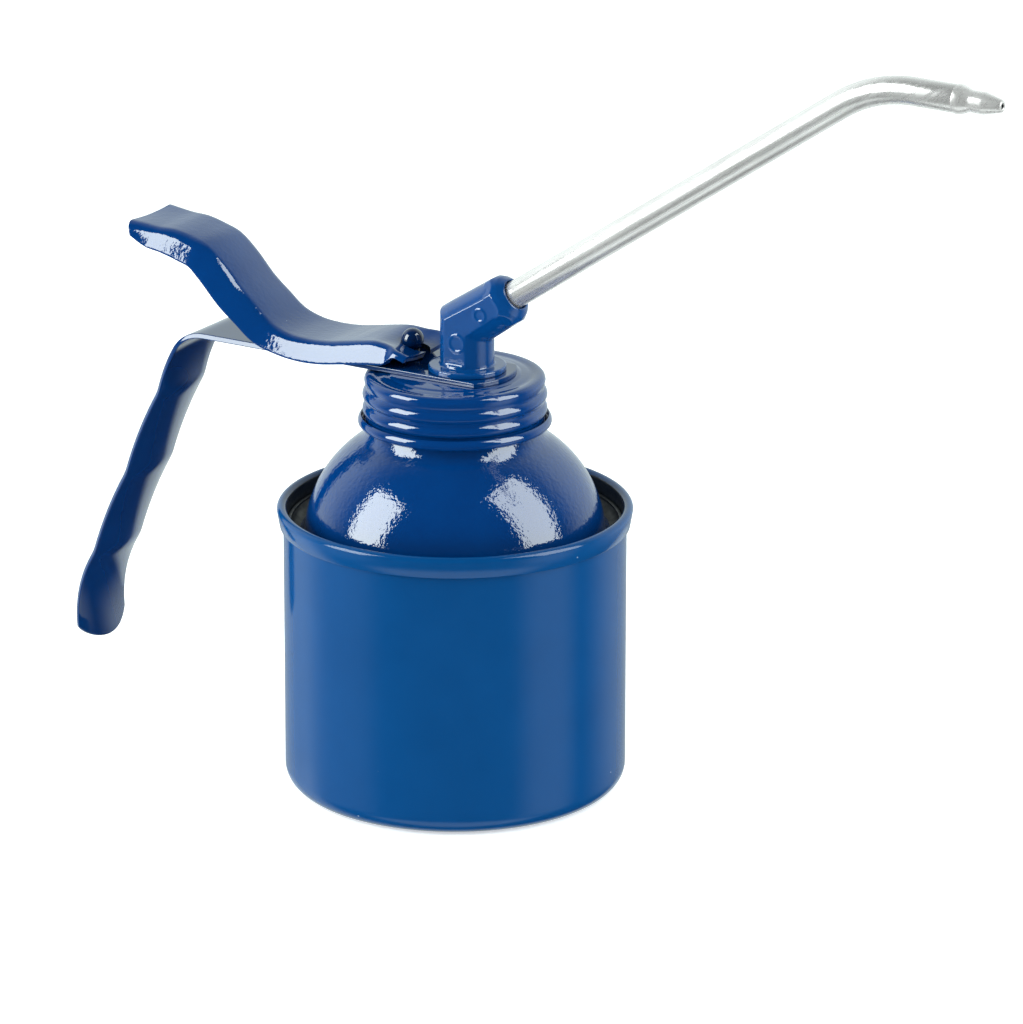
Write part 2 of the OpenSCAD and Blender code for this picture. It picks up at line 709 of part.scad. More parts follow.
module pump_head() {
    color([0.03, 0.27, 0.55]) difference() {
        union() {
            difference() {
                union() {
                    difference() {
                        post(head_x, leg_d / 2, strap_z, elbow_z + 20);
                        mitre_side(true);
                    }
                    difference() {
                        on_arm(-20) cylinder(r = leg_d / 2, h = 20);
                        mitre_side(false);
                    }
                    on_arm(0) cylinder(r1 = leg_d / 2, r2 = arm_end_r, h = nose_s);
                    nose();
                }
                for (y = [-pad_y - 5, pad_y]) translate([0, y + 5, 0]) rotate([90, 0, 0]) linear_extrude(5) pad();
            }
            post(head_x, flange_d / 2, strap_z, head_z);
            post(head_x, stub_r, strap_z - stub_l, strap_z);
            rotate([90, 0, 0]) linear_extrude(2 * pad_y, center = true) pad();
            cast_ring(arm_point(7.4, -0.3), 1.5);
            cast_ring([head_x + 0.5, head_z + 5.8], 2);
        }
        post(head_x, chamber_r, strap_z - stub_l - 1, outlet_spring_top);
        post(head_x, oilway_r, outlet_spring_top - 1, elbow_z + 1);
        on_arm(0) cylinder(r = oilway_r, h = arm_l);
        on_arm(arm_l - socket_l) cylinder(r = tube_d / 2 + running_gap, h = socket_l + 1);
        on_arm(arm_l - mouth_l) cylinder(r = tube_d / 2 + loose_gap, h = mouth_l + 1);
    }
}

spout_seal_t = 1;
module spout_seal() {
    color([0.1, 0.1, 0.1]) on_arm(arm_l - socket_l) ring(oilway_r, tube_d / 2, 0, spout_seal_t);
}

// Spout tube: straight, bent and straight again, in a plane through the can's axis
spout_turn = spout_slope - tip_slope;
bend_tangent = bend_r * tan(spout_turn / 2);
module on_tip(s) {
    on_arm(spout_l) rotate([0, spout_turn, 0]) translate([0, 0, s]) children();
}

lap = 0.02;
module spout_bend() {
    on_arm(spout_l - bend_tangent) translate([bend_r, 0, 0]) rotate([90, 0, 0]) rotate([0, 0, 180 - spout_turn])
        rotate_extrude(angle = spout_turn) translate([bend_r, 0]) difference() {
            circle(tube_d / 2 + lap);
            circle(tube_d / 2 - tube_t - lap);
        }
}

module spout_tube() {
    start = arm_l - socket_l + spout_seal_t;
    bore_r = tube_d / 2 - tube_t;
    color([0.80, 0.80, 0.80]) union() {
        on_arm(0) ring(bore_r, tube_d / 2, start, spout_l - bend_tangent + lap);
        spout_bend();
        on_tip(0) ring(bore_r, tube_d / 2, bend_tangent - lap, tip_l);
    }
}

module nozzle_tip() {
    bore_r = tube_d / 2 - tube_t;
    neck = 2.35;
    end_r = 1.35;
    color([0.75, 0.74, 0.72]) on_tip(tip_l) rotate_extrude() polygon([
        [1.4, -5], [bore_r - running_gap, -5], [bore_r - running_gap, 0], [tube_d / 2 + 0.15, 0],
        [tube_d / 2 + 0.15, 1.4], [neck + 0.15, 3], [neck, 3.6], [neck, nozzle_l - 3.9],
        [end_r, nozzle_l - 0.1], [end_r - 0.1, nozzle_l], [orifice_d / 2, nozzle_l],
        [orifice_d / 2, 2], [1.4, 0]
    ]);
}

can_body();
dome();
seam_seal();
screw_cap();
cap_gasket();
body_gasket();
handle_strap();
thumb_lever();
plunger_rod();
rod_seal();
piston_spring();
piston();
piston_cup();
cup_washer();
piston_nut();
pump_body();
foot_valve_body();
suction_valve_ball();
ball_retainer();
suction_tube();
strainer();
outlet_valve_ball();
outlet_spring();
pump_head();
spout_seal();
spout_tube();
nozzle_tip();
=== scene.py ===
"""Dressed model of a thumb-pump oil can, with its cap, strap, lever, pump head and spout."""

import logging
import math
from collections.abc import Callable
from dataclasses import dataclass
from enum import Enum

import bpy
from mathutils import Matrix, Vector


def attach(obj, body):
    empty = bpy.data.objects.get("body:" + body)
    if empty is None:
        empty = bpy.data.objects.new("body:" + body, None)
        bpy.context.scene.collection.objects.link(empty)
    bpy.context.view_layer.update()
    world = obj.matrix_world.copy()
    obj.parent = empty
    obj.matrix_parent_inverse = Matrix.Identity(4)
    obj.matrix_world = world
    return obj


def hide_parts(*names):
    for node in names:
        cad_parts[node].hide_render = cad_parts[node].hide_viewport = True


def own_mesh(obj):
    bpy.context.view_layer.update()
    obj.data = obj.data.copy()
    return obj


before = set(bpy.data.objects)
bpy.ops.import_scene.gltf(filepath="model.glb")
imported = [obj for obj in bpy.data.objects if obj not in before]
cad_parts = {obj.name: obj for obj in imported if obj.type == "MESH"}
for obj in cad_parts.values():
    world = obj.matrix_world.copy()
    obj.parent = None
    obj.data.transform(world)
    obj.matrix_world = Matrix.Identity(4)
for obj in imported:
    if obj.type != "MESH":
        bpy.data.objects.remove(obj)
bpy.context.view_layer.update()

LOG = logging.getLogger("oil_can")
Point = tuple[float, float]
Colour = tuple[float, float, float]
Socket = bpy.types.NodeSocket
Thing = bpy.types.Object
Material = bpy.types.Material

# Metres to a millimetre, and steps in a turn of the large round pieces
MM = 0.001
TURN_STEPS = 224
# Places along X and bores of the riser and the plunger's rod, in millimetres
HEAD_X, RISER_BORE = 3.15, 5.05
ROD_X, ROD_BORE = -10.8, 2.2


class Body(Enum):
    """The moving bodies that pieces ride on."""

    CAN = "can"
    PUMP = "pump_unit"
    LEVER = "lever"
    PLUNGER = "plunger"
    OUTLET_BALL = "outlet_ball"


def arc(centre: Point, radius: float, start: float, end: float, steps: int) -> list[Point]:
    """Points on an arc.

    Args:
        centre: Centre of the arc, in millimetres.
        radius: Radius, in millimetres.
        start: First angle, in degrees.
        end: Last angle, in degrees.
        steps: Number of steps between the first and the last point.

    Returns:
        The points, both ends included.
    """
    angles = [math.radians(start + (end - start) * i / steps) for i in range(steps + 1)]
    return [(centre[0] + radius * math.cos(a), centre[1] + radius * math.sin(a)) for a in angles]


def bulge(p: Point, q: Point, out: float, steps: int) -> list[Point]:
    """Points on a round bulge from p to q, without q.

    Args:
        p: First point, in millimetres.
        q: Last point, in millimetres.
        out: Height of the bulge over the straight line.
        steps: Number of points.

    Returns:
        The points.
    """
    chord = math.dist(p, q)
    radius = (chord * chord / 4 + out * out) / (2 * out)
    half = math.asin(min(1.0, chord / (2 * radius)))
    ux, uy = (q[0] - p[0]) / chord, (q[1] - p[1]) / chord
    vx, vy = uy, -ux
    mx = (p[0] + q[0]) / 2 - vx * (radius - out)
    my = (p[1] + q[1]) / 2 - vy * (radius - out)
    made = []
    for i in range(steps):
        a = -half + 2 * half * i / steps
        s, c = radius * math.sin(a), radius * math.cos(a)
        made.append((mx + ux * s + vx * c, my + uy * s + vy * c))
    return made


def heading(azimuth: float, elevation: float) -> Vector:
    """Unit vector from the can to a place at an azimuth and an elevation, in degrees."""
    a, e = math.radians(azimuth), math.radians(elevation)
    return Vector((math.sin(a) * math.cos(e), -math.cos(a) * math.cos(e), math.sin(e)))


def active() -> Thing:
    """The object that the last operator made."""
    return bpy.context.view_layer.objects.active


def clear() -> None:
    """Leaves edit mode and deselects everything."""
    if bpy.context.mode != "OBJECT":
        bpy.ops.object.mode_set(mode="OBJECT")
    bpy.ops.object.select_all(action="DESELECT")


def only(obj: Thing) -> None:
    """Selects one object and makes it active.

    Args:
        obj: The object.
    """
    clear()
    obj.select_set(True)
    bpy.context.view_layer.objects.active = obj


def edit_all(obj: Thing) -> None:
    """Opens an object in edit mode with all of it selected.

    Args:
        obj: The object.
    """
    only(obj)
    bpy.ops.object.mode_set(mode="EDIT")
    bpy.ops.mesh.select_all(action="SELECT")


def smooth(obj: Thing, angle: float = 35.0) -> None:
    """Shades an object smooth up to an angle in degrees."""
    only(obj)
    bpy.ops.object.shade_smooth_by_angle(angle=math.radians(angle))


def settle(obj: Thing) -> None:
    """Applies an object's place, turn and size to its mesh."""
    only(obj)
    bpy.ops.object.transform_apply(location=True, rotation=True, scale=True)


def apply(obj: Thing, kind: str, **settings: object) -> None:
    """Adds a modifier and applies it.

    Args:
        obj: The object.
        kind: The modifier's type.
        **settings: Values of the modifier's own settings.
    """
    only(obj)
    modifier = obj.modifiers.new(kind.title(), kind)
    for key, value in settings.items():
        setattr(modifier, key, value)
    bpy.ops.object.modifier_apply(modifier=modifier.name)


def thicken(obj: Thing, sheet: float) -> None:
    """Gives a surface its thickness inwards, in millimetres."""
    apply(obj, "SOLIDIFY", thickness=sheet * MM, offset=-1.0, use_even_offset=True)


def bevel(obj: Thing, width: float, segments: int, angle: float = 50.0) -> None:
    """Rounds edges that turn by more than an angle in degrees, by a width in millimetres."""
    limit = {"limit_method": "ANGLE", "angle_limit": math.radians(angle)}
    apply(obj, "BEVEL", width=width * MM, segments=segments, **limit)


def face_up(obj: Thing, x: float) -> None:
    """Turns a sheet's faces so that the one nearest to x, in millimetres, looks up.

    Args:
        obj: The sheet.
        x: Place along X, in millimetres.
    """
    edit_all(obj)
    bpy.ops.mesh.normals_make_consistent(inside=False)
    clear()
    near = min(obj.data.polygons, key=lambda f: abs(f.center[0] - x * MM) + abs(f.center[1]))
    if near.normal.z < 0:
        edit_all(obj)
        bpy.ops.mesh.flip_normals()
        clear()


def extrude(x: float, z: float) -> None:
    """Extrudes the selection by a step in metres."""
    bpy.ops.mesh.extrude_region_move(TRANSFORM_OT_translate={"value": (x, 0, z)})


def turned(name: str, outline: list[Point], steps: int = 160, closed: bool = True) -> Thing:
    """Turns an outline round the Z axis, as on a lathe.

    Args:
        name: Name of the piece.
        outline: Radius and height of each point, in millimetres.
        steps: Number of steps in a turn.
        closed: Whether the outline is a ring section, and so returns to its first point.

    Returns:
        The finished mesh object.
    """
    clear()
    path = outline + outline[:1] if closed else outline
    r0, z0 = path[0]
    bpy.ops.mesh.primitive_plane_add(size=MM, location=(0, 0, 0))
    obj = active()
    obj.name = obj.data.name = name
    edit_all(obj)
    bpy.ops.mesh.merge(type="CENTER")
    bpy.ops.transform.translate(value=(r0 * MM, 0, z0 * MM))
    for (ra, za), (rb, zb) in zip(path, path[1:]):
        extrude((rb - ra) * MM, (zb - za) * MM)
    bpy.ops.mesh.select_all(action="SELECT")
    bpy.ops.mesh.remove_doubles(threshold=1e-7)
    bpy.ops.mesh.spin(steps=steps, angle=math.tau, center=(0, 0, 0), axis=(0, 0, 1))
    bpy.ops.mesh.select_all(action="SELECT")
    bpy.ops.mesh.remove_doubles(threshold=2e-6)
    bpy.ops.mesh.normals_make_consistent(inside=False)
    clear()
    smooth(obj, 38)
    return obj


def cut(obj: Thing, cutter: Thing, how: str = "DIFFERENCE") -> None:
    """Cuts one object with another, or joins them, and deletes the second.

    Args:
        obj: The object that is kept.
        cutter: The object that is used up.
        how: The boolean operation.
    """
    apply(obj, "BOOLEAN", operation=how, object=cutter, solver="EXACT")
    bpy.data.objects.remove(cutter)


def post(x: float, radius: float, low: float, high: float, sides: int = 48) -> Thing:
    """Upright cylinder used as a cutter, in millimetres.

    Args:
        x: Place along X.
        radius: Radius.
        low: Height of the lower end.
        high: Height of the upper end.
        sides: Number of sides.

    Returns:
        The cylinder.
    """
    clear()
    bpy.ops.mesh.primitive_cylinder_add(
        vertices=sides,
        radius=radius * MM,
        depth=(high - low) * MM,
        location=(x * MM, 0, (low + high) / 2 * MM),
    )
    obj = active()
    settle(obj)
    return obj


def bore(obj: Thing, low: float, high: float) -> None:
    """Bores a sheet for the riser and the plunger's rod, between two heights in millimetres."""
    cut(obj, post(HEAD_X, RISER_BORE, low, high))
    cut(obj, post(ROD_X, ROD_BORE, low, high))


def sheet_grid(name: str, along: int, across: int) -> Thing:
    """Flat grid a metre square, whose vertices the caller puts in place.

    Args:
        name: Name of the piece.
        along: Number of faces along X.
        across: Number of faces along Y.

    Returns:
        The grid.
    """
    clear()
    bpy.ops.mesh.primitive_grid_add(x_subdivisions=along, y_subdivisions=across, size=1.0)
    obj = active()
    obj.name = obj.data.name = name
    return obj


def new_object(name: str, data: bpy.types.ID) -> Thing:
    """New object in the scene that holds a mesh, a light or a camera.

    Args:
        name: Its name.
        data: The mesh, light or camera.

    Returns:
        The object.
    """
    obj = bpy.data.objects.new(name, data)
    bpy.context.scene.collection.objects.link(obj)
    return obj


def solid_copy(name: str, node: str) -> Thing:
    """Copies a CAD node's mesh and merges its loose triangles.

    Args:
        name: Name of the new object.
        node: Name of the node.

    Returns:
        The new object.
    """
    obj = new_object(name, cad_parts[node].data.copy())
    edit_all(obj)
    bpy.ops.mesh.remove_doubles(threshold=1e-6)
    clear()
    return obj


def sampled(path: list[Point], s: float) -> tuple[Point, Point]:
    """Point and direction at a distance along a line of points.

    Args:
        path: The line's points, in millimetres.
        s: Distance from the first point.

    Returns:
        The point and the unit direction there.
    """
    for i, (p, q) in enumerate(zip(path, path[1:])):
        length = math.dist(p, q)
        if s <= length or i == len(path) - 2:
            f = s / length
            d = ((q[0] - p[0]) / length, (q[1] - p[1]) / length)
            return (p[0] + f * (q[0] - p[0]), p[1] + f * (q[1] - p[1])), d
        s -= length
    raise ValueError("a line needs two points")


class Nodes:
    """A node tree and short calls that fill it."""

    def __init__(self, tree: bpy.types.NodeTree) -> None:
        """Takes the tree to fill."""
        self.tree = tree

    def add(self, kind: str, **settings: object) -> bpy.types.Node:
        """Adds a node with its settings.

        Args:
            kind: The node's type.
            **settings: Values of its own settings.

        Returns:
            The node.
        """
        node = self.tree.nodes.new(kind)
        for key, value in settings.items():
            setattr(node, key, value)
        return node

    def put(self, socket: Socket, value: object) -> None:
        """Gives an input a value, or links it to an output.

        Args:
            socket: The input.
            value: The value or the output.
        """
        if isinstance(value, Socket):
            self.tree.links.new(value, socket)
        else:
            socket.default_value = value

    def fill(self, node: bpy.types.Node, **values: object) -> None:
        """Gives a node's inputs values or outputs, with spaces written as underscores."""
        for key, value in values.items():
            self.put(node.inputs[key.replace("_", " ")], value)

    def math(self, how: str, *values: Socket | float) -> Socket:
        """Arithmetic on outputs or numbers.

        Args:
            how: The operation.
            *values: The outputs or numbers, in the operation's order.

        Returns:
            The result.
        """
        node = self.add("ShaderNodeMath", operation=how)
        for socket, value in zip(node.inputs, values):
            self.put(socket, value)
        return node.outputs[0]

    def product(self, first: Socket, *others: Socket | float) -> Socket:
        """Product of an output with others or with numbers.

        Args:
            first: The first factor.
            *others: The other factors.

        Returns:
            The product.
        """
        for value in others:
            first = self.math("MULTIPLY", first, value)
        return first

    def mapped(self, value: Socket, a: float, b: float, low: float, high: float) -> Socket:
        """Smoothly maps a value from one range to another.

        Args:
            value: The value.
            a: Start of its range.
            b: End of its range.
            low: Result at the start.
            high: Result at the end.

        Returns:
            The mapped value.
        """
        node = self.add("ShaderNodeMapRange", interpolation_type="SMOOTHSTEP")
        self.fill(node, Value=value, From_Min=a, From_Max=b, To_Min=low, To_Max=high)
        return node.outputs["Result"]

    def ease(self, value: Socket, a: float, b: float) -> Socket:
        """Smooth step of a value from 0 at a to 1 at b."""
        ends = (a, b, 0.0, 1.0) if a < b else (b, a, 1.0, 0.0)
        return self.mapped(value, *ends)

    def ramp(self, value: Socket, stops: list[tuple[float, Colour]]) -> Socket:
        """Colour ramp over a value.

        Args:
            value: The value.
            stops: Place and colour of each stop.

        Returns:
            The colour.
        """
        node = self.add("ShaderNodeValToRGB")
        elements = node.color_ramp.elements
        while len(elements) < len(stops):
            elements.new(0.5)
        for element, (at, colour) in zip(elements, stops):
            element.position = at
            element.color = (*colour, 1.0)
        self.fill(node, Fac=value)
        return node.outputs["Color"]

    def blend(self, factor: Socket, a: Socket | Colour, b: Socket | Colour) -> Socket:
        """Mixes two colours.

        Args:
            factor: Share of the second.
            a: The first colour.
            b: The second colour.

        Returns:
            The mixed colour.
        """
        node = self.add("ShaderNodeMix", data_type="RGBA")
        self.fill(node, Factor=factor)
        for socket, colour in zip(node.inputs[6:8], (a, b)):
            self.put(socket, (*colour, 1.0) if isinstance(colour, tuple) else colour)
        return node.outputs[2]


class MaterialNodes(Nodes):
    """A new material and the nodes round its Principled shader."""

    def __init__(self, name: str) -> None:
        """Starts a material of this name.

        Args:
            name: The material's name.
        """
        self.material = bpy.data.materials.new(name)
        self.material.use_nodes = True
        super().__init__(self.material.node_tree)
        self.shader = self.tree.nodes["Principled BSDF"]
        self.place = self.add("ShaderNodeTexCoord").outputs["Object"]

    def set(self, **values: object) -> None:
        """Gives the shader's inputs values or outputs."""
        self.fill(self.shader, **values)

    def noise(
        self,
        scale: float,
        detail: float = 2.0,
        rough: float = 0.5,
        stretch: tuple[float, float, float] | None = None,
        slope: float = 0.0,
    ) -> Socket:
        """Noise on object coordinates.

        Args:
            scale: Features per metre.
            detail: Number of finer layers.
            rough: Share of the finer layers.
            stretch: Scale of each axis, if the grain has a direction.
            slope: Turn of that direction about Y, in degrees.

        Returns:
            The noise value.
        """
        source = self.place
        if stretch:
            mapping = self.add("ShaderNodeMapping", vector_type="TEXTURE")
            tilt = (0, math.radians(-slope), 0)
            self.fill(mapping, Scale=stretch, Rotation=tilt, Vector=source)
            source = mapping.outputs["Vector"]
        node = self.add("ShaderNodeTexNoise")
        self.fill(node, Scale=scale, Detail=detail, Roughness=rough, Vector=source)
        return node.outputs["Fac"]

    def bump(self, height: Socket, depth: float, coat: bool = False) -> None:
        """Raises the surface by a height pattern.

        Args:
            height: The pattern, from 0 to 1.
            depth: Its depth, in metres.
            coat: Whether the clear coat follows it too.
        """
        node = self.add("ShaderNodeBump")
        self.fill(node, Strength=1.0, Distance=depth, Height=height)
        self.set(Normal=node.outputs["Normal"])
        if coat:
            self.set(Coat_Normal=node.outputs["Normal"])


@dataclass(frozen=True)
class Paint:
    """Blue gloss paint with orange peel, faint mottling and dust specks."""

    name: str
    colour: Colour
    deep: Colour
    rough: float = 0.45
    coat: float = 1.0
    coat_rough: float = 0.05
    coat_ior: float = 1.75
    peel: float = 0.00007
    peel_scale: float = 1000.0
    wave_scale: float = 260.0
    mottle_scale: float = 60.0
    specks: float = 0.0
    speck_scale: float = 260.0
    speck_colour: Colour = (0.35, 0.42, 0.52)

    def make(self) -> Material:
        """Builds the material.

        Returns:
            The material.
        """
        n = MaterialNodes(self.name)
        n.set(Roughness=self.rough, Specular_IOR_Level=0.0)
        n.set(Coat_Weight=self.coat, Coat_Roughness=self.coat_rough, Coat_IOR=self.coat_ior)
        mottle = n.noise(self.mottle_scale, 3.0, 0.55)
        colour = n.ramp(mottle, [(0.3, self.deep), (0.7, self.colour)])
        if self.specks:
            cells = n.add("ShaderNodeTexVoronoi")
            n.fill(cells, Scale=self.speck_scale, Vector=n.place)
            dot = n.mapped(cells.outputs["Distance"], 0.035, 0.06, 1.0, 0.0)
            few = n.mapped(n.noise(90.0, 1.0), 0.62, 0.66, 0.0, self.specks)
            colour = n.blend(n.product(dot, few), colour, self.speck_colour)
        n.set(Base_Color=colour)
        waves = n.product(n.noise(self.wave_scale, 1.0), 0.5)
        peel = n.math("ADD", n.noise(self.peel_scale, 2.0, 0.5), waves)
        n.bump(peel, self.peel, coat=True)
        return n.material


@dataclass(frozen=True)
class Metal:
    """Bare metal with grain, stains and a changing polish."""

    name: str
    colour: Colour
    stain: Colour
    rough: float = 0.3
    vary: float = 0.08
    grain: tuple[float, float, float] = (1.0, 1.0, 1.0)
    grain_scale: float = 900.0
    depth: float = 0.000002
    stain_scale: float = 70.0
    metallic: float = 1.0
    slope: float = 0.0

    def make(self) -> Material:
        """Builds the material.

        Returns:
            The material.
        """
        n = MaterialNodes(self.name)
        n.set(Metallic=self.metallic)
        grain = n.noise(self.grain_scale, 3.0, 0.6, self.grain, self.slope)
        stain = n.noise(self.stain_scale, 4.0, 0.6)
        n.set(Base_Color=n.ramp(stain, [(0.35, self.stain), (0.62, self.colour)]))
        n.set(Roughness=n.mapped(grain, 0.3, 0.7, self.rough - self.vary, self.rough + self.vary))
        n.bump(grain, self.depth)
        return n.material


@dataclass(frozen=True)
class Soft:
    """Rubber, sealing compound or gasket board with a fine tooth."""

    name: str
    colour: Colour
    light: Colour
    rough: float = 0.7
    scale: float = 700.0
    depth: float = 0.00002

    def make(self) -> Material:
        """Builds the material.

        Returns:
            The material.
        """
        n = MaterialNodes(self.name)
        tooth = n.noise(self.scale, 4.0, 0.6)
        n.set(Base_Color=n.ramp(tooth, [(0.35, self.colour), (0.7, self.light)]))
        n.set(Roughness=n.mapped(tooth, 0.3, 0.7, self.rough - 0.1, self.rough + 0.1))
        n.bump(tooth, self.depth)
        return n.material


DEEP_BLUE: Colour = (0.0, 0.032, 0.150)
NAVY: Colour = (0.0, 0.026, 0.128)


class Finishes:
    """Every finish, made once."""

    def __init__(self) -> None:
        """Builds the materials."""
        self.can = Paint(
            "can_blue",
            (0.001, 0.049, 0.173),
            (0.0005, 0.044, 0.158),
            rough=0.55,
            coat=0.85,
            coat_rough=0.12,
            coat_ior=1.5,
            peel=0.000015,
            peel_scale=700.0,
            specks=0.7,
        ).make()
        self.dome = Paint("dome_blue", DEEP_BLUE, NAVY, specks=0.3).make()
        self.cap = Paint("cap_blue", DEEP_BLUE, NAVY, peel=0.00002).make()
        strap, shade = (0.0, 0.028, 0.128), (0.0, 0.022, 0.108)
        self.strap = Paint("strap_blue", strap, shade, peel=0.000002, specks=0.5).make()
        self.lever = Paint("lever_blue", DEEP_BLUE, NAVY, peel=0.00004, specks=0.5).make()
        head, shade = (0.001, 0.050, 0.200), (0.001, 0.041, 0.172)
        self.head = Paint("head_blue", head, shade, peel=0.00003).make()
        ball, shade = (0.0, 0.012, 0.060), (0.0, 0.009, 0.045)
        self.ball = Paint("ball_navy_and_rod_shade", ball, shade, coat_rough=0.03, peel=0.000003).make()
        self.spout = Metal(
            "spout_steel",
            (0.86, 0.82, 0.82),
            (0.76, 0.725, 0.725),
            rough=0.27,
            vary=0.07,
            grain=(40, 1, 1),
            grain_scale=1500.0,
            depth=0.0000015,
            metallic=0.75,
            slope=34.0,
        ).make()
        nickel, stain = (0.88, 0.84, 0.84), (0.76, 0.725, 0.72)
        self.nozzle = Metal("nozzle_nickel", nickel, stain, vary=0.06, metallic=0.68).make()
        steel, stain = (0.62, 0.63, 0.64), (0.50, 0.51, 0.52)
        self.rod = Metal("rod_steel", steel, stain, rough=0.2, vary=0.05, grain=(1, 1, 10)).make()
        zinc, stain = (0.50, 0.51, 0.53), (0.36, 0.37, 0.39)
        self.zinc = Metal("cast_zinc", zinc, stain, rough=0.48, vary=0.1, depth=0.00002).make()
        brass, stain = (0.78, 0.58, 0.27), (0.60, 0.42, 0.18)
        self.brass = Metal("turned_brass", brass, stain, rough=0.26, vary=0.06).make()
        steel, stain = (0.58, 0.59, 0.60), (0.42, 0.43, 0.44)
        self.steel = Metal("plain_steel", steel, stain, rough=0.32).make()
        # Black coat inside the can and the dome's moat; the same dark finish is also painted shade on
        # the lever's slot wall and in the nozzle's bore.
        dark, light = (0.006, 0.011, 0.018), (0.012, 0.020, 0.030)
        self.inside = Soft("dark_inside_and_painted_shade", dark, light, rough=0.45).make()
        dark, light = (0.006, 0.007, 0.009), (0.016, 0.018, 0.022)
        self.seal = Soft("seam_black", dark, light, rough=0.5, scale=240.0, depth=0.0002).make()
        self.rubber = Soft("black_rubber", (0.012, 0.012, 0.013), (0.028, 0.028, 0.030)).make()
        dark, light = (0.22, 0.14, 0.08), (0.34, 0.23, 0.13)
        self.fibre = Soft("gasket_fibre", dark, light, rough=0.8, scale=1200.0, depth=0.00005).make()


def dress(obj: Thing, material: Material) -> None:
    """Gives an object one finish."""
    obj.data.materials.clear()
    obj.data.materials.append(material)


def dress_part(obj: Thing, material: Material, picks: Callable[[float, float, float], bool]) -> None:
    """Gives a second finish to the faces whose middle a test picks, in millimetres.

    Args:
        obj: The object, which has its first finish.
        material: The second finish.
        picks: The test, called with the three coordinates.
    """
    obj.data.materials.append(material)
    for face in obj.data.polygons:
        face.material_index = int(picks(*(c / MM for c in face.center)))


def fit(obj: Thing, body: Body, slot: str, *nodes: str) -> Thing:
    """Puts a finished piece on its body in place of its solids.

    Args:
        obj: The piece.
        body: The body that it rides on.
        slot: The record's material slot; not used.
        *nodes: The solids that it stands for.

    Returns:
        The piece.
    """
    settle(obj)
    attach(obj, body.value)
    if nodes:
        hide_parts(*nodes)
    LOG.info("%s: %d faces on %s", obj.name, len(obj.data.polygons), body.value)
    return obj


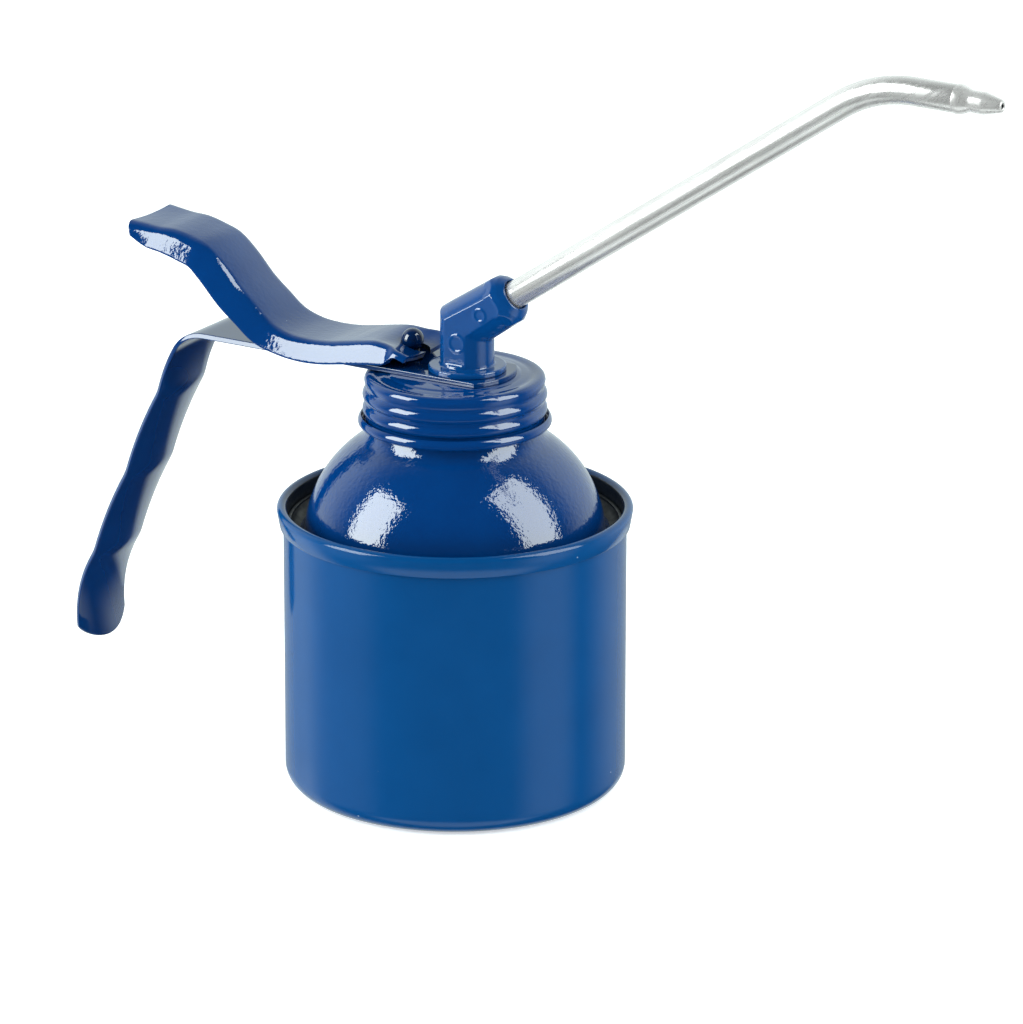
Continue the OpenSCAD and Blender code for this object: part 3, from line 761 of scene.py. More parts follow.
@dataclass
class Can:
    """The can with its rolled rim, the dome inside it and the sealing bead between them."""

    radius: float = 37.5
    sheet: float = 0.8
    height: float = 64.0
    corner: float = 4.6
    rim_out: float = 1.395
    rim_height: float = 4.6
    leg: float = 0.55
    leg_in: float = 0.6
    moat: float = 58.0
    moat_in: float = 33.9
    bead_wander: float = 0.12
    dome_axis: float = 6.0
    dome_centre: float = 56.0
    dome_radius: float = 27.0
    neck: float = 18.3
    neck_top: float = 91.84
    thread_from: float = 2.4
    thread_pitch: float = 3.2
    thread_out: float = 0.2
    fillet: float = 6.0
    upturn: float = 2.2

    @property
    def fillet_start(self) -> float:
        """Angle on the dome at which the fillet to the neck begins, in degrees."""
        reach = self.dome_radius + self.fillet
        return math.degrees(math.acos((self.neck + self.fillet - self.dome_axis) / reach))

    def build(self, finish: Finishes) -> None:
        """Builds and dresses the three pieces.

        Args:
            finish: The finishes.
        """
        self.shell(finish)
        self.dome(finish)
        self.bead(finish)

    def shell(self, finish: Finishes) -> None:
        """Turns the can from its base up, over the rim and down inside.

        Args:
            finish: The finishes.
        """
        r, t, c = self.radius, self.sheet, self.corner
        roll = (t + self.rim_out) / 2
        roll_z = self.height - roll
        inner, outer = r - t, r + self.rim_out
        low = self.height - self.rim_height
        wall = [(r, c + (roll_z - c) * i / 6) for i in range(1, 6)]
        outline = [(0.0, 0.0), (r - c - 3, 0.0)]
        outline += arc((r - c, c), c, -90, 0, 12) + wall
        outline += [(r, low), (r, roll_z - 0.4)]
        outline += arc((inner + roll, roll_z), roll - self.leg, 180, 0, 10)
        foot = outer - self.leg_in
        outline += [(foot - self.leg, low + 0.1), (foot - self.leg + 0.1, low)]
        outline += [(foot - 0.12, low), (foot, low + 0.14)]
        outline += arc((inner + roll, roll_z), roll, 0, 180, 20)
        outline += [(inner, low - 4), (inner, c + 8)]
        outline += arc((r - c, c), c - t, 0, -90, 10) + [(0.0, t)]
        can = turned("can_shell", outline, TURN_STEPS, closed=False)
        dress(can, finish.can)

        def within(x: float, y: float, z: float) -> bool:
            """Whether a face is on the inside.

            Args:
                x: Place along X.
                y: Place along Y.
                z: Height.

            Returns:
                True for a face on the inside.
            """
            reach = math.hypot(x, y)
            in_corner = z < c and math.hypot(max(reach - (r - c), 0.0), z - c) > c - t / 2
            return reach < inner + 0.15 and z > t * 0.9 and not in_corner

        dress_part(can, finish.inside, within)
        fit(can, Body.CAN, "can_paint", "can_body")

    def dome(self, finish: Finishes) -> None:
        """Turns the dome with its moat floor, upturned edge and neck.

        Args:
            finish: The finishes.
        """
        t, cx, cz, r = self.sheet, self.dome_axis, self.dome_centre, self.dome_radius
        top = math.degrees(math.acos((self.neck - cx) / r))
        inner_top = math.degrees(math.acos((self.neck - t - cx) / (r - t)))
        edge = self.radius - t - 0.05
        outline = [(self.neck - t, self.neck_top - 0.2), (self.neck - t + 0.2, self.neck_top)]
        outline += [(self.neck - 0.2, self.neck_top), (self.neck, self.neck_top - 0.2)]
        for i in range(2):
            z = self.neck_top - self.thread_from - self.thread_pitch * i
            crest, flank = self.neck + self.thread_out, self.neck + 0.8 * self.thread_out
            outline += [(self.neck, z + 0.6), (flank, z + 0.3), (crest, z)]
            outline += [(flank, z - 0.3), (self.neck, z - 0.6)]
        start = self.fillet_start
        centre_z = cz + (r + self.fillet) * math.sin(math.radians(start))
        outline += arc((self.neck + self.fillet, centre_z), self.fillet, 180, 180 + start, 10)
        outline += arc((cx, cz), r, start - 1.2, 7, 44)
        floor, lip = self.moat, self.moat + self.upturn
        outline += [(self.moat_in - 0.7, floor + 0.35), (self.moat_in, floor)]
        outline += [(edge - t - 0.3, floor), (edge - t, floor + 0.3), (edge - t, lip - 0.1)]
        outline += [(edge - t + 0.2, lip), (edge - 0.2, lip), (edge, lip - 0.2)]
        outline += [(edge, floor - t), (self.moat_in - 1.3, floor - t)]
        outline += arc((cx, cz), r - t, 3.2, inner_top, 30)
        piece = turned("dome_shell", outline, TURN_STEPS)
        dress(piece, finish.dome)

        def in_moat(x: float, y: float, z: float) -> bool:
            """Whether a face is in the moat."""
            return math.hypot(x, y) > self.moat_in - 0.3 and z > floor - 0.5

        dress_part(piece, finish.inside, in_moat)
        fit(piece, Body.CAN, "dome_paint", "dome")

    def bead(self, finish: Finishes) -> None:
        """Turns the black sealing bead in the moat and lets its edge wander a little.

        Args:
            finish: The finishes.
        """
        r, z = self.radius - 2 * self.sheet - 0.05, self.moat
        outline = [(r - 2.2, z), (r - 1.7, z + 0.14), (r - 1.2, z + 0.38), (r - 0.8, z + 0.62)]
        outline += [(r - 0.5, z + 0.88), (r - 0.25, z + 1.25), (r, z + 1.65), (r, z)]
        bead = turned("seam_bead", outline, 160)
        for v in bead.data.vertices:
            if v.co.z / MM > z + 0.05:
                turn = math.atan2(v.co.y, v.co.x)
                wander = 0.5 + 0.5 * math.sin(7 * turn) * math.cos(11 * turn + 1)
                v.co.z -= MM * self.bead_wander * wander
        dress(bead, finish.seal)
        fit(bead, Body.CAN, "seam_seal", "seam_seal")


@dataclass
class Cap:
    """The pressed screw cap with its rolled ridges, raised panel and curled hem."""

    top: float = 93.54
    crest: float = 20.1
    valley: float = 19.4
    inner: float = 18.7
    pitch: float = 3.2
    ridge: float = 1.3
    ridge_steps: int = 12
    ridge_gap: float = 1.25
    ridge_flat: float = 0.75
    first_in: float = 0.4
    panel: float = 14.0
    groove: float = 16.7
    rise: float = 0.3
    under: float = 92.84
    hem_radius: float = 21.1
    hem_low: float = 82.1
    hem_fold: float = 0.95
    hem_swell: float = 1.6
    hem_curl: float = 54.0
    hem_sheet: float = 0.5

    def build(self, finish: Finishes) -> None:
        """Turns the cap, bores its two holes and dresses it.

        Args:
            finish: The finishes.
        """
        fold = (self.hem_radius - self.hem_fold, self.hem_low + self.hem_fold)
        swell = (self.hem_radius - self.hem_swell, fold[1])
        top, panel, groove = self.top, self.panel, self.groove
        outline = [(0.0, top + self.rise), (panel - 0.25, top + self.rise)]
        outline += [(panel + 0.05, top + self.rise - 0.08), (panel + 0.35, top + 0.05)]
        outline += [(panel + 0.7, top), (groove - 1.1, top - 0.02), (groove - 0.6, top - 0.16)]
        outline += [(groove, top - 0.2), (groove + 0.5, top - 0.12), (groove + 1.0, top)]
        corner = (self.crest - self.ridge - self.first_in, top - self.ridge)
        outline += arc(corner, self.ridge, 84, 0, 9)
        outline += self.ridges()
        outline += [(self.valley, fold[1] + 2.4), (self.valley + 0.02, fold[1] + 0.9)]
        outline += arc(fold, self.hem_fold - self.hem_sheet, 190, 345, 9)
        outline += arc(swell, self.hem_swell - self.hem_sheet, 0, self.hem_curl, 6)
        outline += arc(swell, self.hem_swell, self.hem_curl, 0, 9)
        outline += arc(fold, self.hem_fold, -9, -180, 16)
        ceiling = self.under + self.rise
        outline += [(self.inner, self.under), (panel - 0.4, self.under)]
        outline += [(panel - 0.6, ceiling), (0.0, ceiling)]
        cap = turned("cap_shell", outline, TURN_STEPS, closed=False)
        bore(cap, self.under - 1, top + 2)
        smooth(cap, 38)
        dress(cap, finish.cap)
        fit(cap, Body.PUMP, "cap_paint", "screw_cap")

    def ridges(self) -> list[Point]:
        """Outline of the rolled ridges, from the first valley down to the skirt.

        Returns:
            Radius and height of each point, in millimetres.
        """
        first, steps = self.top - self.ridge, self.ridge_steps
        made = []
        for step in range(4, 31):
            z = first - self.pitch * step / steps
            off = (step + steps // 2 - 1) % steps - (steps // 2 - 1)
            wave = max(0.0, math.cos(math.pi * off / steps * self.ridge_gap))
            crest = self.crest - (self.first_in if step < 7 else 0.0)
            made.append((self.valley + (crest - self.valley) * wave**self.ridge_flat, z))
        return made


@dataclass
class Strap:
    """The bent handle strap with its finger waves and the rib that the lever rocks on."""

    width: float = 17.6
    sheet: float = 1.1
    top: float = 94.94
    reach: float = 68.6
    front: float = 13.5
    drop: float = 4.3
    rib: float = 1.6
    rib_x: float = -34.0
    first_valley: Point = (-4.0, -15.2)
    next_valley: Point = (-9.1, -20.3)
    grip_end: Point = (-4.2, -23.1)
    corner_run: float = 8.1
    corner_drop: float = 5.0
    crown: float = 1.5
    crown_over: float = 12.0
    sink: float = 0.07
    round: float = 0.2
    edge_lean: float = 0.36
    lean_from: float = 22.0
    lean_over: float = 14.0
    least_lean: float = 0.3

    def valley(self, i: int) -> Point:
        """Place between two finger waves, counted from the corner."""
        (x, z), (dx, dz) = self.first_valley, self.next_valley
        return -self.reach + x + dx * i, self.top + z + dz * i

    def path(self) -> list[Point]:
        """Outer face seen from the side, from front to grip's end, with its creases eased.

        Returns:
            Distance and height of each point, in millimetres.
        """
        last = self.valley(2)
        end = (last[0] + self.grip_end[0], last[1] + self.grip_end[1])
        corner = (-self.reach, self.top - self.corner_drop)
        line = [(self.front, self.top)]
        line += bulge((-self.reach + self.corner_run, self.top), corner, 1.35, 14)
        line += bulge(corner, self.valley(0), 0.4, 8)
        line += bulge(self.valley(0), self.valley(1), 0.65, 14)
        line += bulge(self.valley(1), last, 0.65, 14)
        line += bulge(last, end, 2.5, 18) + [end]
        length = sum(math.dist(p, q) for p, q in zip(line, line[1:]))
        even = [sampled(line, length * i / 240)[0] for i in range(241)]
        for _ in range(3):
            inner = [
                ((a[0] + 2 * b[0] + c[0]) / 4, (a[1] + 2 * b[1] + c[1]) / 4)
                for a, b, c in zip(even, even[1:], even[2:])
            ]
            even = [even[0], *inner, even[-1]]
        return even

    def build(self, finish: Finishes) -> None:
        """Lays a grid along the path, gives it thickness, bores it and adds the rib.

        Args:
            finish: The finishes.
        """
        path = self.path()
        length = sum(math.dist(p, q) for p, q in zip(path, path[1:]))
        end_r = ((self.width / 2) ** 2 + self.drop**2) / (2 * self.drop)
        strap = sheet_grid("strap_sheet", 260, 24)
        for v in strap.data.vertices:
            y = v.co.y * self.width
            start = self.front - math.sqrt(self.front**2 - y * y)
            stop = length - (end_r - math.sqrt(end_r**2 - y * y))
            s = start + (stop - start) * (0.5 - v.co.x)
            (x, z), (dx, dz) = sampled(path, s)
            fade = min(1.0, max(0.0, (s - self.front - self.reach) / self.crown_over))
            bow = fade * (self.crown * (1 - (2 * y / self.width) ** 2) - self.sink)
            v.co = ((x - dz * bow) * MM, y * MM, (z + dx * bow) * MM)
        outer = len(strap.data.vertices)
        face_up(strap, -35)
        thicken(strap, self.sheet)
        for v in strap.data.vertices[:outer]:
            if abs(v.co.y) > (self.width / 2 - 0.1) * MM:
                past = min(1.0, max(0.0, (-v.co.x / MM - self.lean_from) / self.lean_over))
                share = self.least_lean + (1 - self.least_lean) * past
                v.co.y -= math.copysign(self.edge_lean * share * MM, v.co.y)
        bevel(strap, self.round, 4)
        bore(strap, self.top - 5, self.top + 5)
        self.add_rib(strap)
        smooth(strap, 45)
        dress(strap, finish.strap)
        fit(strap, Body.PUMP, "strap_paint", "handle_strap")

    def add_rib(self, strap: Thing) -> None:
        """Joins the half-round rib to the strap.

        Args:
            strap: The strap.
        """
        clear()
        bpy.ops.mesh.primitive_cylinder_add(
            vertices=48,
            radius=self.rib * MM,
            depth=(self.width - 3) * MM,
            location=(self.rib_x * MM, 0, self.top * MM),
            rotation=(math.pi / 2, 0, 0),
        )
        rib = active()
        settle(rib)
        edit_all(rib)
        low = (self.top - 0.3) * MM
        bpy.ops.mesh.bisect(plane_co=(0, 0, low), plane_no=(0, 0, 1), clear_inner=True, use_fill=True)
        clear()
        bevel(rib, 0.5, 3, 60)
        only(strap)
        rib.select_set(True)
        bpy.ops.object.join()


@dataclass
class Lever:
    """The pressed thumb lever: a channel with rounded shoulders, bent like an S."""

    width: float = 20.2
    sheet: float = 1.2
    base: float = 94.94
    lean: float = 32.0
    foot_lean: float = 11.0
    shoulder_more: float = 0.4
    tip_rake: float = 0.55
    tip_length: float = 6.0
    shoulder_at: float = 0.5
    flange_at: float = 0.75
    slot_width: float = 4.8
    slot_ends: Point = (-11.0, -9.1)
    rows: tuple[tuple[float, float, float, float, float], ...] = (
        (-79.5, 23.0, 2.8, 2.4, -0.3),
        (-77.0, 22.8, 3.7, 2.4, -0.2),
        (-73.0, 22.4, 4.4, 2.3, 0.0),
        (-68.8, 22.3, 5.0, 2.5, 0.0),
        (-64.5, 21.4, 5.2, 2.8, 0.1),
        (-60.0, 19.8, 5.2, 3.0, 0.2),
        (-55.6, 16.2, 5.4, 3.0, 0.2),
        (-51.4, 11.65, 5.3, 3.0, 0.2),
        (-47.3, 8.15, 5.1, 2.8, 0.2),
        (-43.5, 5.05, 4.9, 2.4, 0.1),
        (-39.0, 3.35, 4.5, 2.0, 0.0),
        (-34.0, 2.85, 4.6, 1.8, 0.0),
        (-29.0, 3.05, 4.6, 1.6, 0.0),
        (-24.5, 3.75, 4.6, 1.6, 0.0),
        (-20.0, 4.55, 4.7, 1.5, 0.0),
        (-16.0, 5.1, 4.7, 1.5, -0.35),
        (-12.0, 4.8, 3.9, 1.4, -1.05),
        (-9.6, 4.35, 1.5, 0.9, -1.3),
        (-7.6, 3.85, 1.3, 0.8, -1.2),
        (-6.5, 3.45, 1.3, 0.8, -1.05),
    )

    def row(self, t: float) -> list[float]:
        """Values of a station, on the smooth curve through the rows.

        Args:
            t: Place along the rows, from 0 to 1.

        Returns:
            Distance, height, flange depth, shoulder radius and crown.
        """
        rows = self.rows
        at = t * (len(rows) - 1)
        i = min(int(at), len(rows) - 2)
        f = at - i
        a, b, c, d = rows[max(i - 1, 0)], rows[i], rows[i + 1], rows[min(i + 2, len(rows) - 1)]
        made = []
        for p, q, r, s in zip(a, b, c, d):
            square, cube = 2 * p - 5 * q + 4 * r - s, 3 * q - p - 3 * r + s
            made.append(0.5 * (2 * q + (r - p) * f + square * f**2 + cube * f**3))
        return made

    def section(self, v: float, depth: float, r: float, crown: float) -> Point:
        """Point on the channel's outer outline.

        Args:
            v: Place across, from -1 at one foot to 1 at the other.
            depth: Flange depth.
            r: Shoulder radius.
            crown: Rise of the plate's middle.

        Returns:
            Distance from the middle and height over the plate.
        """
        side, f = (1 if v > 0 else -1), abs(v)
        lean, foot = math.radians(self.lean), math.radians(self.foot_lean)
        r += self.shoulder_more
        drop, far = r * (1 - math.sin(lean)), r * math.cos(lean)
        big = (depth - drop) / (math.sin(lean) - math.sin(foot))
        flat = self.width / 2 - far - big * (math.cos(foot) - math.cos(lean))
        if f > self.flange_at:
            a = lean + (foot - lean) * (f - self.flange_at) / (1 - self.flange_at)
            out = flat + far + big * (math.cos(a) - math.cos(lean))
            return side * out, -drop - big * (math.sin(lean) - math.sin(a))
        if f > self.shoulder_at:
            share = (f - self.shoulder_at) / (self.flange_at - self.shoulder_at)
            a = math.pi / 2 + (lean - math.pi / 2) * share
            return side * (flat + r * math.cos(a)), -r * (1 - math.sin(a))
        g = f / self.shoulder_at
        return side * flat * g, crown * (1 - g * g)

    def build(self, finish: Finishes) -> None:
        """Lays the grid over the stations, thickens it, cuts the slot and rounds the edges.

        Args:
            finish: The finishes.
        """
        lever = sheet_grid("lever_sheet", 190, 48)
        step = 0.002
        for v in lever.data.vertices:
            t = v.co.x + 0.5
            x, h, depth, r, crown = self.row(t)
            x2, h2 = self.row(min(t + step, 1.0))[:2]
            x1, h1 = self.row(max(t - step, 0.0))[:2]
            run, lift = x2 - x1, h2 - h1
            size = math.hypot(run, lift)
            across, up = self.section(v.co.y * 2, depth, r, crown)
            rake = self.tip_rake * max(0.0, 1 - (x - self.rows[0][0]) / self.tip_length)
            x -= up * (lift / size + rake)
            v.co = (x * MM, across * MM, (self.base + h + up * run / size) * MM)
        face_up(lever, -30)
        thicken(lever, self.sheet)
        bevel(lever, 0.25, 3)
        self.slot(lever)
        smooth(lever, 45)
        dress(lever, finish.lever)

        def in_shaded_slot(x: float, y: float, _: float) -> bool:
            """Whether a face is on the slot's wall, which gets the dark inside finish as painted
            shade.
            """
            off = x - min(max(x, self.slot_ends[0]), self.slot_ends[1])
            return math.hypot(off, y) < self.slot_width / 2 + 0.02

        # The slot's wall is painted dark as painted shade in the hole under the plunger's ball.
        dress_part(lever, finish.inside, in_shaded_slot)
        fit(lever, Body.LEVER, "lever_paint", "thumb_lever")

    def slot(self, lever: Thing) -> None:
        """Cuts the slot that the plunger's ball sits in.

        Args:
            lever: The lever.
        """
        low, high = self.base + 0.2, self.base + 12
        for x in self.slot_ends:
            cut(lever, post(x, self.slot_width / 2, low, high))
        clear()
        middle = sum(self.slot_ends) / 2
        bpy.ops.mesh.primitive_cube_add(
            size=MM,
            location=(middle * MM, 0, (low + high) / 2 * MM),
            scale=(self.slot_ends[1] - self.slot_ends[0], self.slot_width, high - low),
        )
        box = active()
        settle(box)
        cut(lever, box)


@dataclass
class Plunger:
    """The plunger's rod and its ball head."""

    rod: float = 1.5
    ball: float = 2.5
    ball_z: float = 99.39
    low: float = 62.24
    # From this height up the rod takes the ball's dark navy: the ball's own paint, and painted shade
    # on the rod's top where it shows in the lever's slot.
    navy_and_shade_from: float = 90.0

    def build(self, finish: Finishes) -> None:
        """Turns the rod with its ball and dresses both.

        Args:
            finish: The finishes.
        """
        start = math.degrees(math.asin(self.rod / self.ball))
        outline = [(0.0, self.low), (self.rod - 0.3, self.low), (self.rod, self.low + 0.3)]
        outline += [(self.rod, z) for z in (80.0, self.navy_and_shade_from, 96.0)]
        outline += arc((0.0, self.ball_z), self.ball, -90 + start, 90, 28)
        rod = turned("plunger_ball", outline, 64, closed=False)
        edit_all(rod)
        bpy.ops.transform.translate(value=(ROD_X * MM, 0, 0))
        clear()
        dress(rod, finish.rod)
        # The ball's navy paint also covers the steel rod's top as painted shade.
        dress_part(rod, finish.ball, lambda x, y, z: z > self.navy_and_shade_from)
        fit(rod, Body.PLUNGER, "plunger_finish", "plunger_rod")


@dataclass
class Head:
    """The cast pump head: flange, leg, elbow, side pads and nose."""

    cell: float = 0.2
    rounds: int = 4

    def build(self, finish: Finishes) -> None:
        """Takes the solid's form, closes it to one skin and softens its edges like a casting.

        Args:
            finish: The finishes.
        """
        head = solid_copy("head_casting", "pump_head")
        apply(head, "REMESH", mode="VOXEL", voxel_size=self.cell * MM, adaptivity=0.0)
        apply(head, "SMOOTH", factor=0.5, iterations=self.rounds)
        smooth(head, 60)
        dress(head, finish.head)
        fit(head, Body.PUMP, "head_paint", "pump_head")


@dataclass
class Spout:
    """The bright tube from the head to its tip, and the nozzle pressed on it."""

    origin: Point = (HEAD_X, 105.29)
    slope: float = 34.0
    tip_slope: float = -1.0
    length: float = 118.75
    tip: float = 18.9
    bend: float = 30.0
    radius: float = 3.0
    wall: float = 0.8
    start: float = 6.9

    def at(self, s: float) -> tuple[float, float]:
        """Place along the straight tube, in metres."""
        a = math.radians(self.slope)
        return (self.origin[0] + s * math.cos(a)) * MM, (self.origin[1] + s * math.sin(a)) * MM

    def build(self, finish: Finishes) -> None:
        """Builds the tube and the nozzle."""
        self.tube(finish)
        self.nozzle(finish)

    def tube(self, finish: Finishes) -> None:
        """Extrudes a ring along the slope, spins it round the bend and extrudes the tip.

        Args:
            finish: The finishes.
        """
        turn = math.radians(self.slope - self.tip_slope)
        tangent = self.bend * math.tan(turn / 2)
        a, b = math.radians(self.slope), math.radians(self.tip_slope)
        x0, z0 = self.at(self.start)
        clear()
        facing = (0, math.pi / 2 - a, 0)
        bpy.ops.mesh.primitive_circle_add(
            vertices=64, radius=self.radius * MM, location=(x0, 0, z0), rotation=facing
        )
        tube = active()
        tube.name = tube.data.name = "spout_pipe"
        settle(tube)
        edit_all(tube)
        run = (self.length - tangent - self.start) * MM
        for _ in range(4):
            extrude(run / 4 * math.cos(a), run / 4 * math.sin(a))
        x1, z1 = self.at(self.length - tangent)
        centre = (x1 + self.bend * MM * math.sin(a), 0, z1 - self.bend * MM * math.cos(a))
        bpy.ops.mesh.spin(steps=24, angle=turn, center=centre, axis=(0, -1, 0))
        run = (self.tip - tangent) * MM
        extrude(run * math.cos(b), run * math.sin(b))
        bpy.ops.mesh.select_all(action="SELECT")
        bpy.ops.mesh.remove_doubles(threshold=1e-6)
        bpy.ops.mesh.normals_make_consistent(inside=False)
        clear()
        thicken(tube, self.wall)
        bevel(tube, 0.1, 2)
        smooth(tube, 40)
        dress(tube, finish.spout)
        fit(tube, Body.PUMP, "spout_steel", "spout_tube")

    def nozzle(self, finish: Finishes) -> None:
        """Turns the nozzle and sets it on the end of the tube.

        Args:
            finish: The finishes.
        """
        r = self.radius
        outline = [(1.4, -5.0), (r - 0.85, -5.0), (r - 0.85, 0.0), (r - 0.05, 0.0)]
        outline += [(r + 0.15, 0.2), (r + 0.15, 1.2), (r + 0.05, 1.45), (2.58, 2.8), (2.44, 3.1)]
        outline += [(2.36, 3.5), (2.35, 4.0), (2.35, 6.3), (2.3, 6.75), (1.4, 10.2), (1.28, 10.5)]
        outline += [(1.1, 10.6), (0.72, 10.6), (0.6, 10.45), (0.6, 2.0), (1.4, 0.0)]
        nozzle = turned("nozzle_turned", outline, 72)
        a, b = math.radians(self.slope), math.radians(self.tip_slope)
        x = self.origin[0] + self.length * math.cos(a) + self.tip * math.cos(b)
        z = self.origin[1] + self.length * math.sin(a) + self.tip * math.sin(b)
        nozzle.rotation_euler = (0, math.pi / 2 - b, 0)
        nozzle.location = (x * MM, 0, z * MM)
        dress(nozzle, finish.nozzle)
        # The nozzle's bore takes the dark inside finish as painted shade.
        dress_part(nozzle, finish.inside, lambda x, y, z: math.hypot(x, y) < 0.66 and z < 10.5)
        fit(nozzle, Body.PUMP, "nozzle_plating", "nozzle_tip")


@dataclass(frozen=True)
class Spring:
    """A coil spring in its solid's form, set on its body as it is."""

    name: str
    node: str
    body: Body
    joint: str
    axis_x: float
    foot: float
    length: float
    travel: float

    def build(self, finish: Finishes) -> None:
        """Copies the solid's form, dresses it in steel and sets it on its body.

        Args:
            finish: The finishes.
        """
        coil = solid_copy(self.name, self.node)
        settle(coil)
        dress(coil, finish.steel)
        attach(coil, self.body.value)
        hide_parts(self.node)
        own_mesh(coil)
        LOG.info("%s shortens with %s", self.name, self.joint)


class PumpInside:
    """The pump's own pieces, which keep the shapes of their solids."""

    def build(self, finish: Finishes) -> None:
        """Dresses each solid that shows nothing but its own finish.

        Args:
            finish: The finishes.
        """
        Spring(
            "piston_coil",
            "piston_spring",
            Body.PLUNGER,
            "plunger_slide",
            axis_x=ROD_X,
            foot=71.84,
            length=17.19,
            travel=6.478,
        ).build(finish)
        Spring(
            "outlet_coil",
            "outlet_spring",
            Body.OUTLET_BALL,
            "outlet_ball_lift",
            axis_x=HEAD_X,
            foot=89.49,
            length=4.37,
            travel=1.0,
        ).build(finish)
        balls = ("suction_valve_ball", "outlet_valve_ball")
        for material, names in (
            (finish.rubber, ("cap_gasket", "rod_seal", "piston_cup", "spout_seal")),
            (finish.fibre, ("body_gasket",)),
            (finish.steel, ("cup_washer", "piston_nut", "suction_tube", *balls)),
            (finish.zinc, ("pump_body",)),
            (finish.brass, ("piston", "foot_valve_body", "ball_retainer", "strainer")),
        ):
            for name in names:
                dress(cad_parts[name], material)
                LOG.info("%s dressed", name)


@dataclass(frozen=True)
class Lamp:
    """A soft box, placed by the direction that it lights from."""

    name: str
    azimuth: float
    elevation: float
    width: float
    height: float
    power: float
    aim: float = 0.08
    distance: float = 1.6
    gloss: bool = True

    def make(self) -> None:
        """Builds the lamp, facing the can."""
        light = bpy.data.lights.new(self.name, "AREA")
        light.shape = "RECTANGLE"
        light.size, light.size_y, light.energy = self.width, self.height, self.power
        light.color = (0.92, 1.0, 0.98)
        lamp = new_object(self.name, light)
        back = heading(self.azimuth, self.elevation)
        lamp.location = Vector((0, 0, self.aim)) + back * self.distance
        lamp.rotation_euler = back.to_track_quat("Z", "Y").to_euler()
        lamp.visible_camera = False
        lamp.visible_glossy = self.gloss


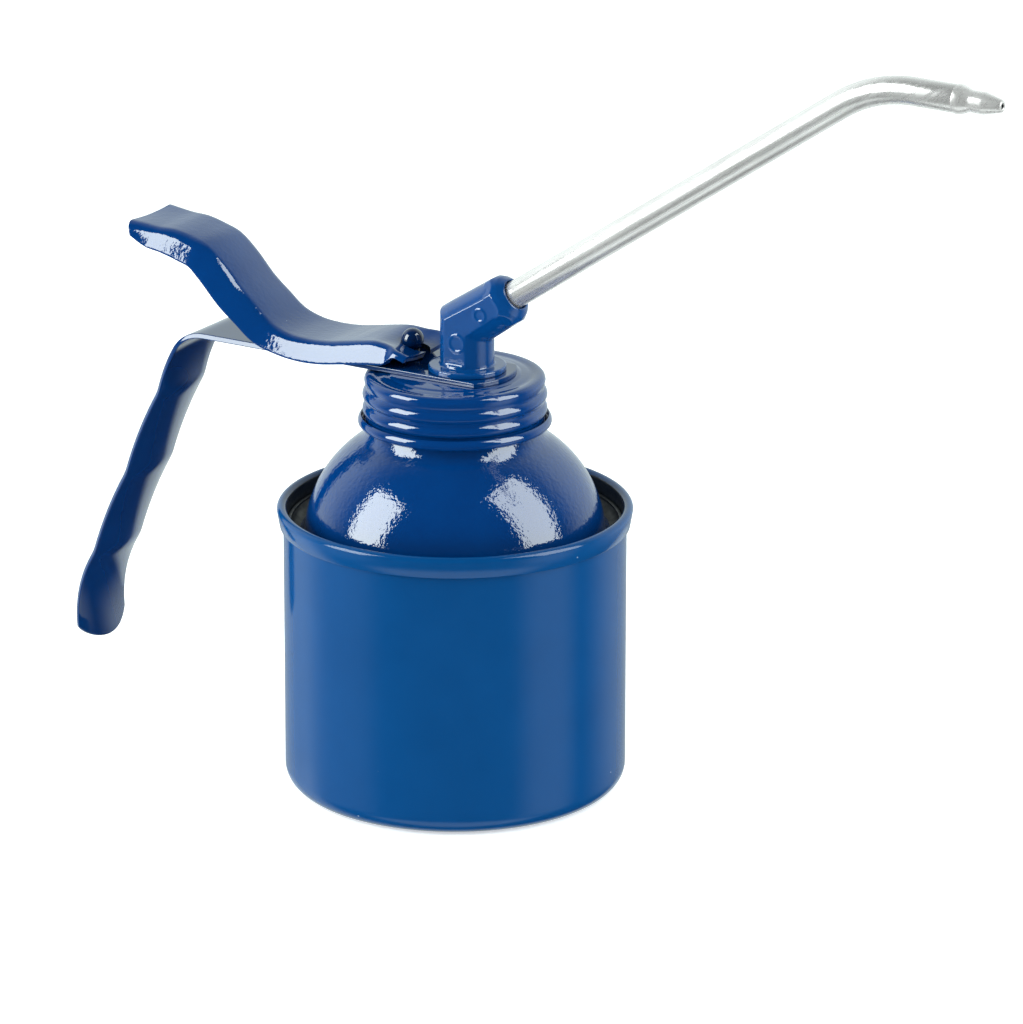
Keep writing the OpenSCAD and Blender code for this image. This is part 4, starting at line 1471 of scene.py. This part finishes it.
@dataclass
class Studio:
    """Pale floor, white surroundings, lamps and camera."""

    azimuth: float = 32.0
    elevation: float = 18.386
    distance: float = 1.4
    aim: float = 0.06
    focal_pixels: float = 6412.55
    frame_pixels: float = 1024.0
    sensor: float = 36.0
    pan: float = -0.504
    tilt: float = 0.067
    roll: float = -0.071
    ambient: float = 0.42

    def build(self) -> None:
        """Builds the whole studio."""
        self.floor()
        self.surroundings()
        for lamp in (
            Lamp("left_softbox", -42, 24, width=0.86, height=1.26, power=30),
            Lamp("right_softbox", 103, 31, width=0.95, height=1.77, power=31),
            Lamp("left_fill", -80, 8, width=1.0, height=1.0, power=21, gloss=False),
        ):
            lamp.make()
        self.camera()
        view = bpy.context.scene.view_settings
        view.view_transform = "Standard"

    def floor(self) -> None:
        """A wide pale floor that shows white and keeps the can's shadow."""
        clear()
        bpy.ops.mesh.primitive_plane_add(size=8, location=(0, 0, 0))
        floor = active()
        floor.name = floor.data.name = "floor"
        n = MaterialNodes("floor_white")
        grain = n.ramp(n.noise(30.0, 3.0), [(0.3, (0.83, 0.83, 0.83)), (0.7, (0.86, 0.86, 0.86))])
        rays = n.add("ShaderNodeLightPath").outputs
        seen = n.math("MAXIMUM", rays["Is Camera Ray"], rays["Is Diffuse Ray"])
        n.set(Roughness=0.9, Base_Color=grain)
        n.set(Emission_Color=(1, 1, 1, 1), Emission_Strength=n.product(seen, 0.5))
        dress(floor, n.material)
        floor.visible_glossy = False

    def surroundings(self) -> None:
        """White behind the can, dim in front of it, and three bright patches for the gloss."""
        world = bpy.data.worlds.new("studio")
        bpy.context.scene.world = world
        world.use_nodes = True
        n = Nodes(world.node_tree)
        calc, product, ease = n.math, n.product, n.ease

        def ease_angle(value: Socket, a: float, b: float) -> Socket:
            """Smooth step of an angle from 0 at a to 1 at b, in degrees."""
            return ease(value, math.radians(a), math.radians(b))

        way = n.add("ShaderNodeSeparateXYZ")
        n.fill(way, Vector=n.add("ShaderNodeTexCoord").outputs["Generated"])
        x, y, z = way.outputs
        rays = n.add("ShaderNodeLightPath").outputs
        a = math.radians(self.azimuth)
        behind = calc("ADD", product(x, -math.sin(a)), product(y, math.cos(a)))
        azimuth = calc("ARCTAN2", x, product(y, -1.0))
        elevation = calc("ARCSINE", z)
        high = calc("MULTIPLY_ADD", ease_angle(elevation, 60, 26), 0.65, 0.35)
        band = product(ease(behind, 0.0, 0.6), ease_angle(elevation, -38, -6), high)
        front = calc("SUBTRACT", 1.0, ease(behind, -0.35, -0.05))
        under = product(ease_angle(elevation, -40, -55), front)
        white = calc("MULTIPLY_ADD", calc("MAXIMUM", band, under), 0.97, 0.03)

        def window(az: float, half: float, low: float, high: float, edge: float = 12.0) -> Socket:
            """Soft-edged rectangle of directions, in degrees.

            Args:
                az: Azimuth of the middle.
                half: Half of its width.
                low: Lowest elevation.
                high: Highest elevation.
                edge: Half of the width of its soft edge.

            Returns:
                Its brightness.
            """
            off = calc("ABSOLUTE", calc("SUBTRACT", azimuth, math.radians(az)))
            wide = ease_angle(off, half + edge, half - edge)
            over = ease_angle(elevation, low - edge, low + edge)
            return product(wide, over, ease_angle(elevation, high + edge, high - edge))

        left = product(window(az=-60, half=34, low=-34, high=-7), 0.36)
        right = product(window(az=98, half=18, low=-40, high=-8), 0.68)
        lit = product(ease(behind, 0.1, 0.5), ease(x, 0.17, -0.05))
        table = product(lit, ease_angle(elevation, -17, -24), 0.9)
        gloss = calc("ADD", calc("MAXIMUM", white, table), calc("ADD", left, right))
        extra = product(calc("SUBTRACT", gloss, self.ambient), rays["Is Glossy Ray"])
        plain = calc("ADD", extra, self.ambient)
        seen = calc("MAXIMUM", rays["Is Camera Ray"], rays["Is Transmission Ray"])
        strength = calc("ADD", product(calc("SUBTRACT", 1.0, plain), seen), plain)
        tint = n.blend(seen, (0.88, 1.0, 0.97), (1.0, 1.0, 1.0))
        n.fill(n.tree.nodes["Background"], Strength=strength, Color=tint)

    def camera(self) -> None:
        """Sets the camera at the photograph's angle."""
        back = heading(self.azimuth, self.elevation)
        right = heading(self.azimuth + 90, 0)
        up = back.cross(right)
        spot = Vector((0, 0, self.aim)) + back * self.distance
        for axis, turn in ((up, self.pan), (right, self.tilt), (back, self.roll)):
            spin = Matrix.Rotation(math.radians(turn), 3, axis)
            right, up, back = spin @ right, spin @ up, spin @ back
        lens = bpy.data.cameras.new("camera")
        lens.lens = self.focal_pixels / self.frame_pixels * self.sensor
        lens.sensor_width = self.sensor
        camera = new_object("camera", lens)
        facing = Matrix((right, up, back)).transposed().to_4x4()
        camera.matrix_world = Matrix.Translation(spot) @ facing
        bpy.context.scene.camera = camera


def main() -> None:
    """Builds the dressed oil can and its studio."""
    logging.basicConfig(level=logging.INFO, format="%(message)s")
    finish = Finishes()
    for part in (Can(), Cap(), Strap(), Lever(), Plunger(), Head(), Spout(), PumpInside()):
        part.build(finish)
    Studio().build()


if __name__ == "__main__":
    main()
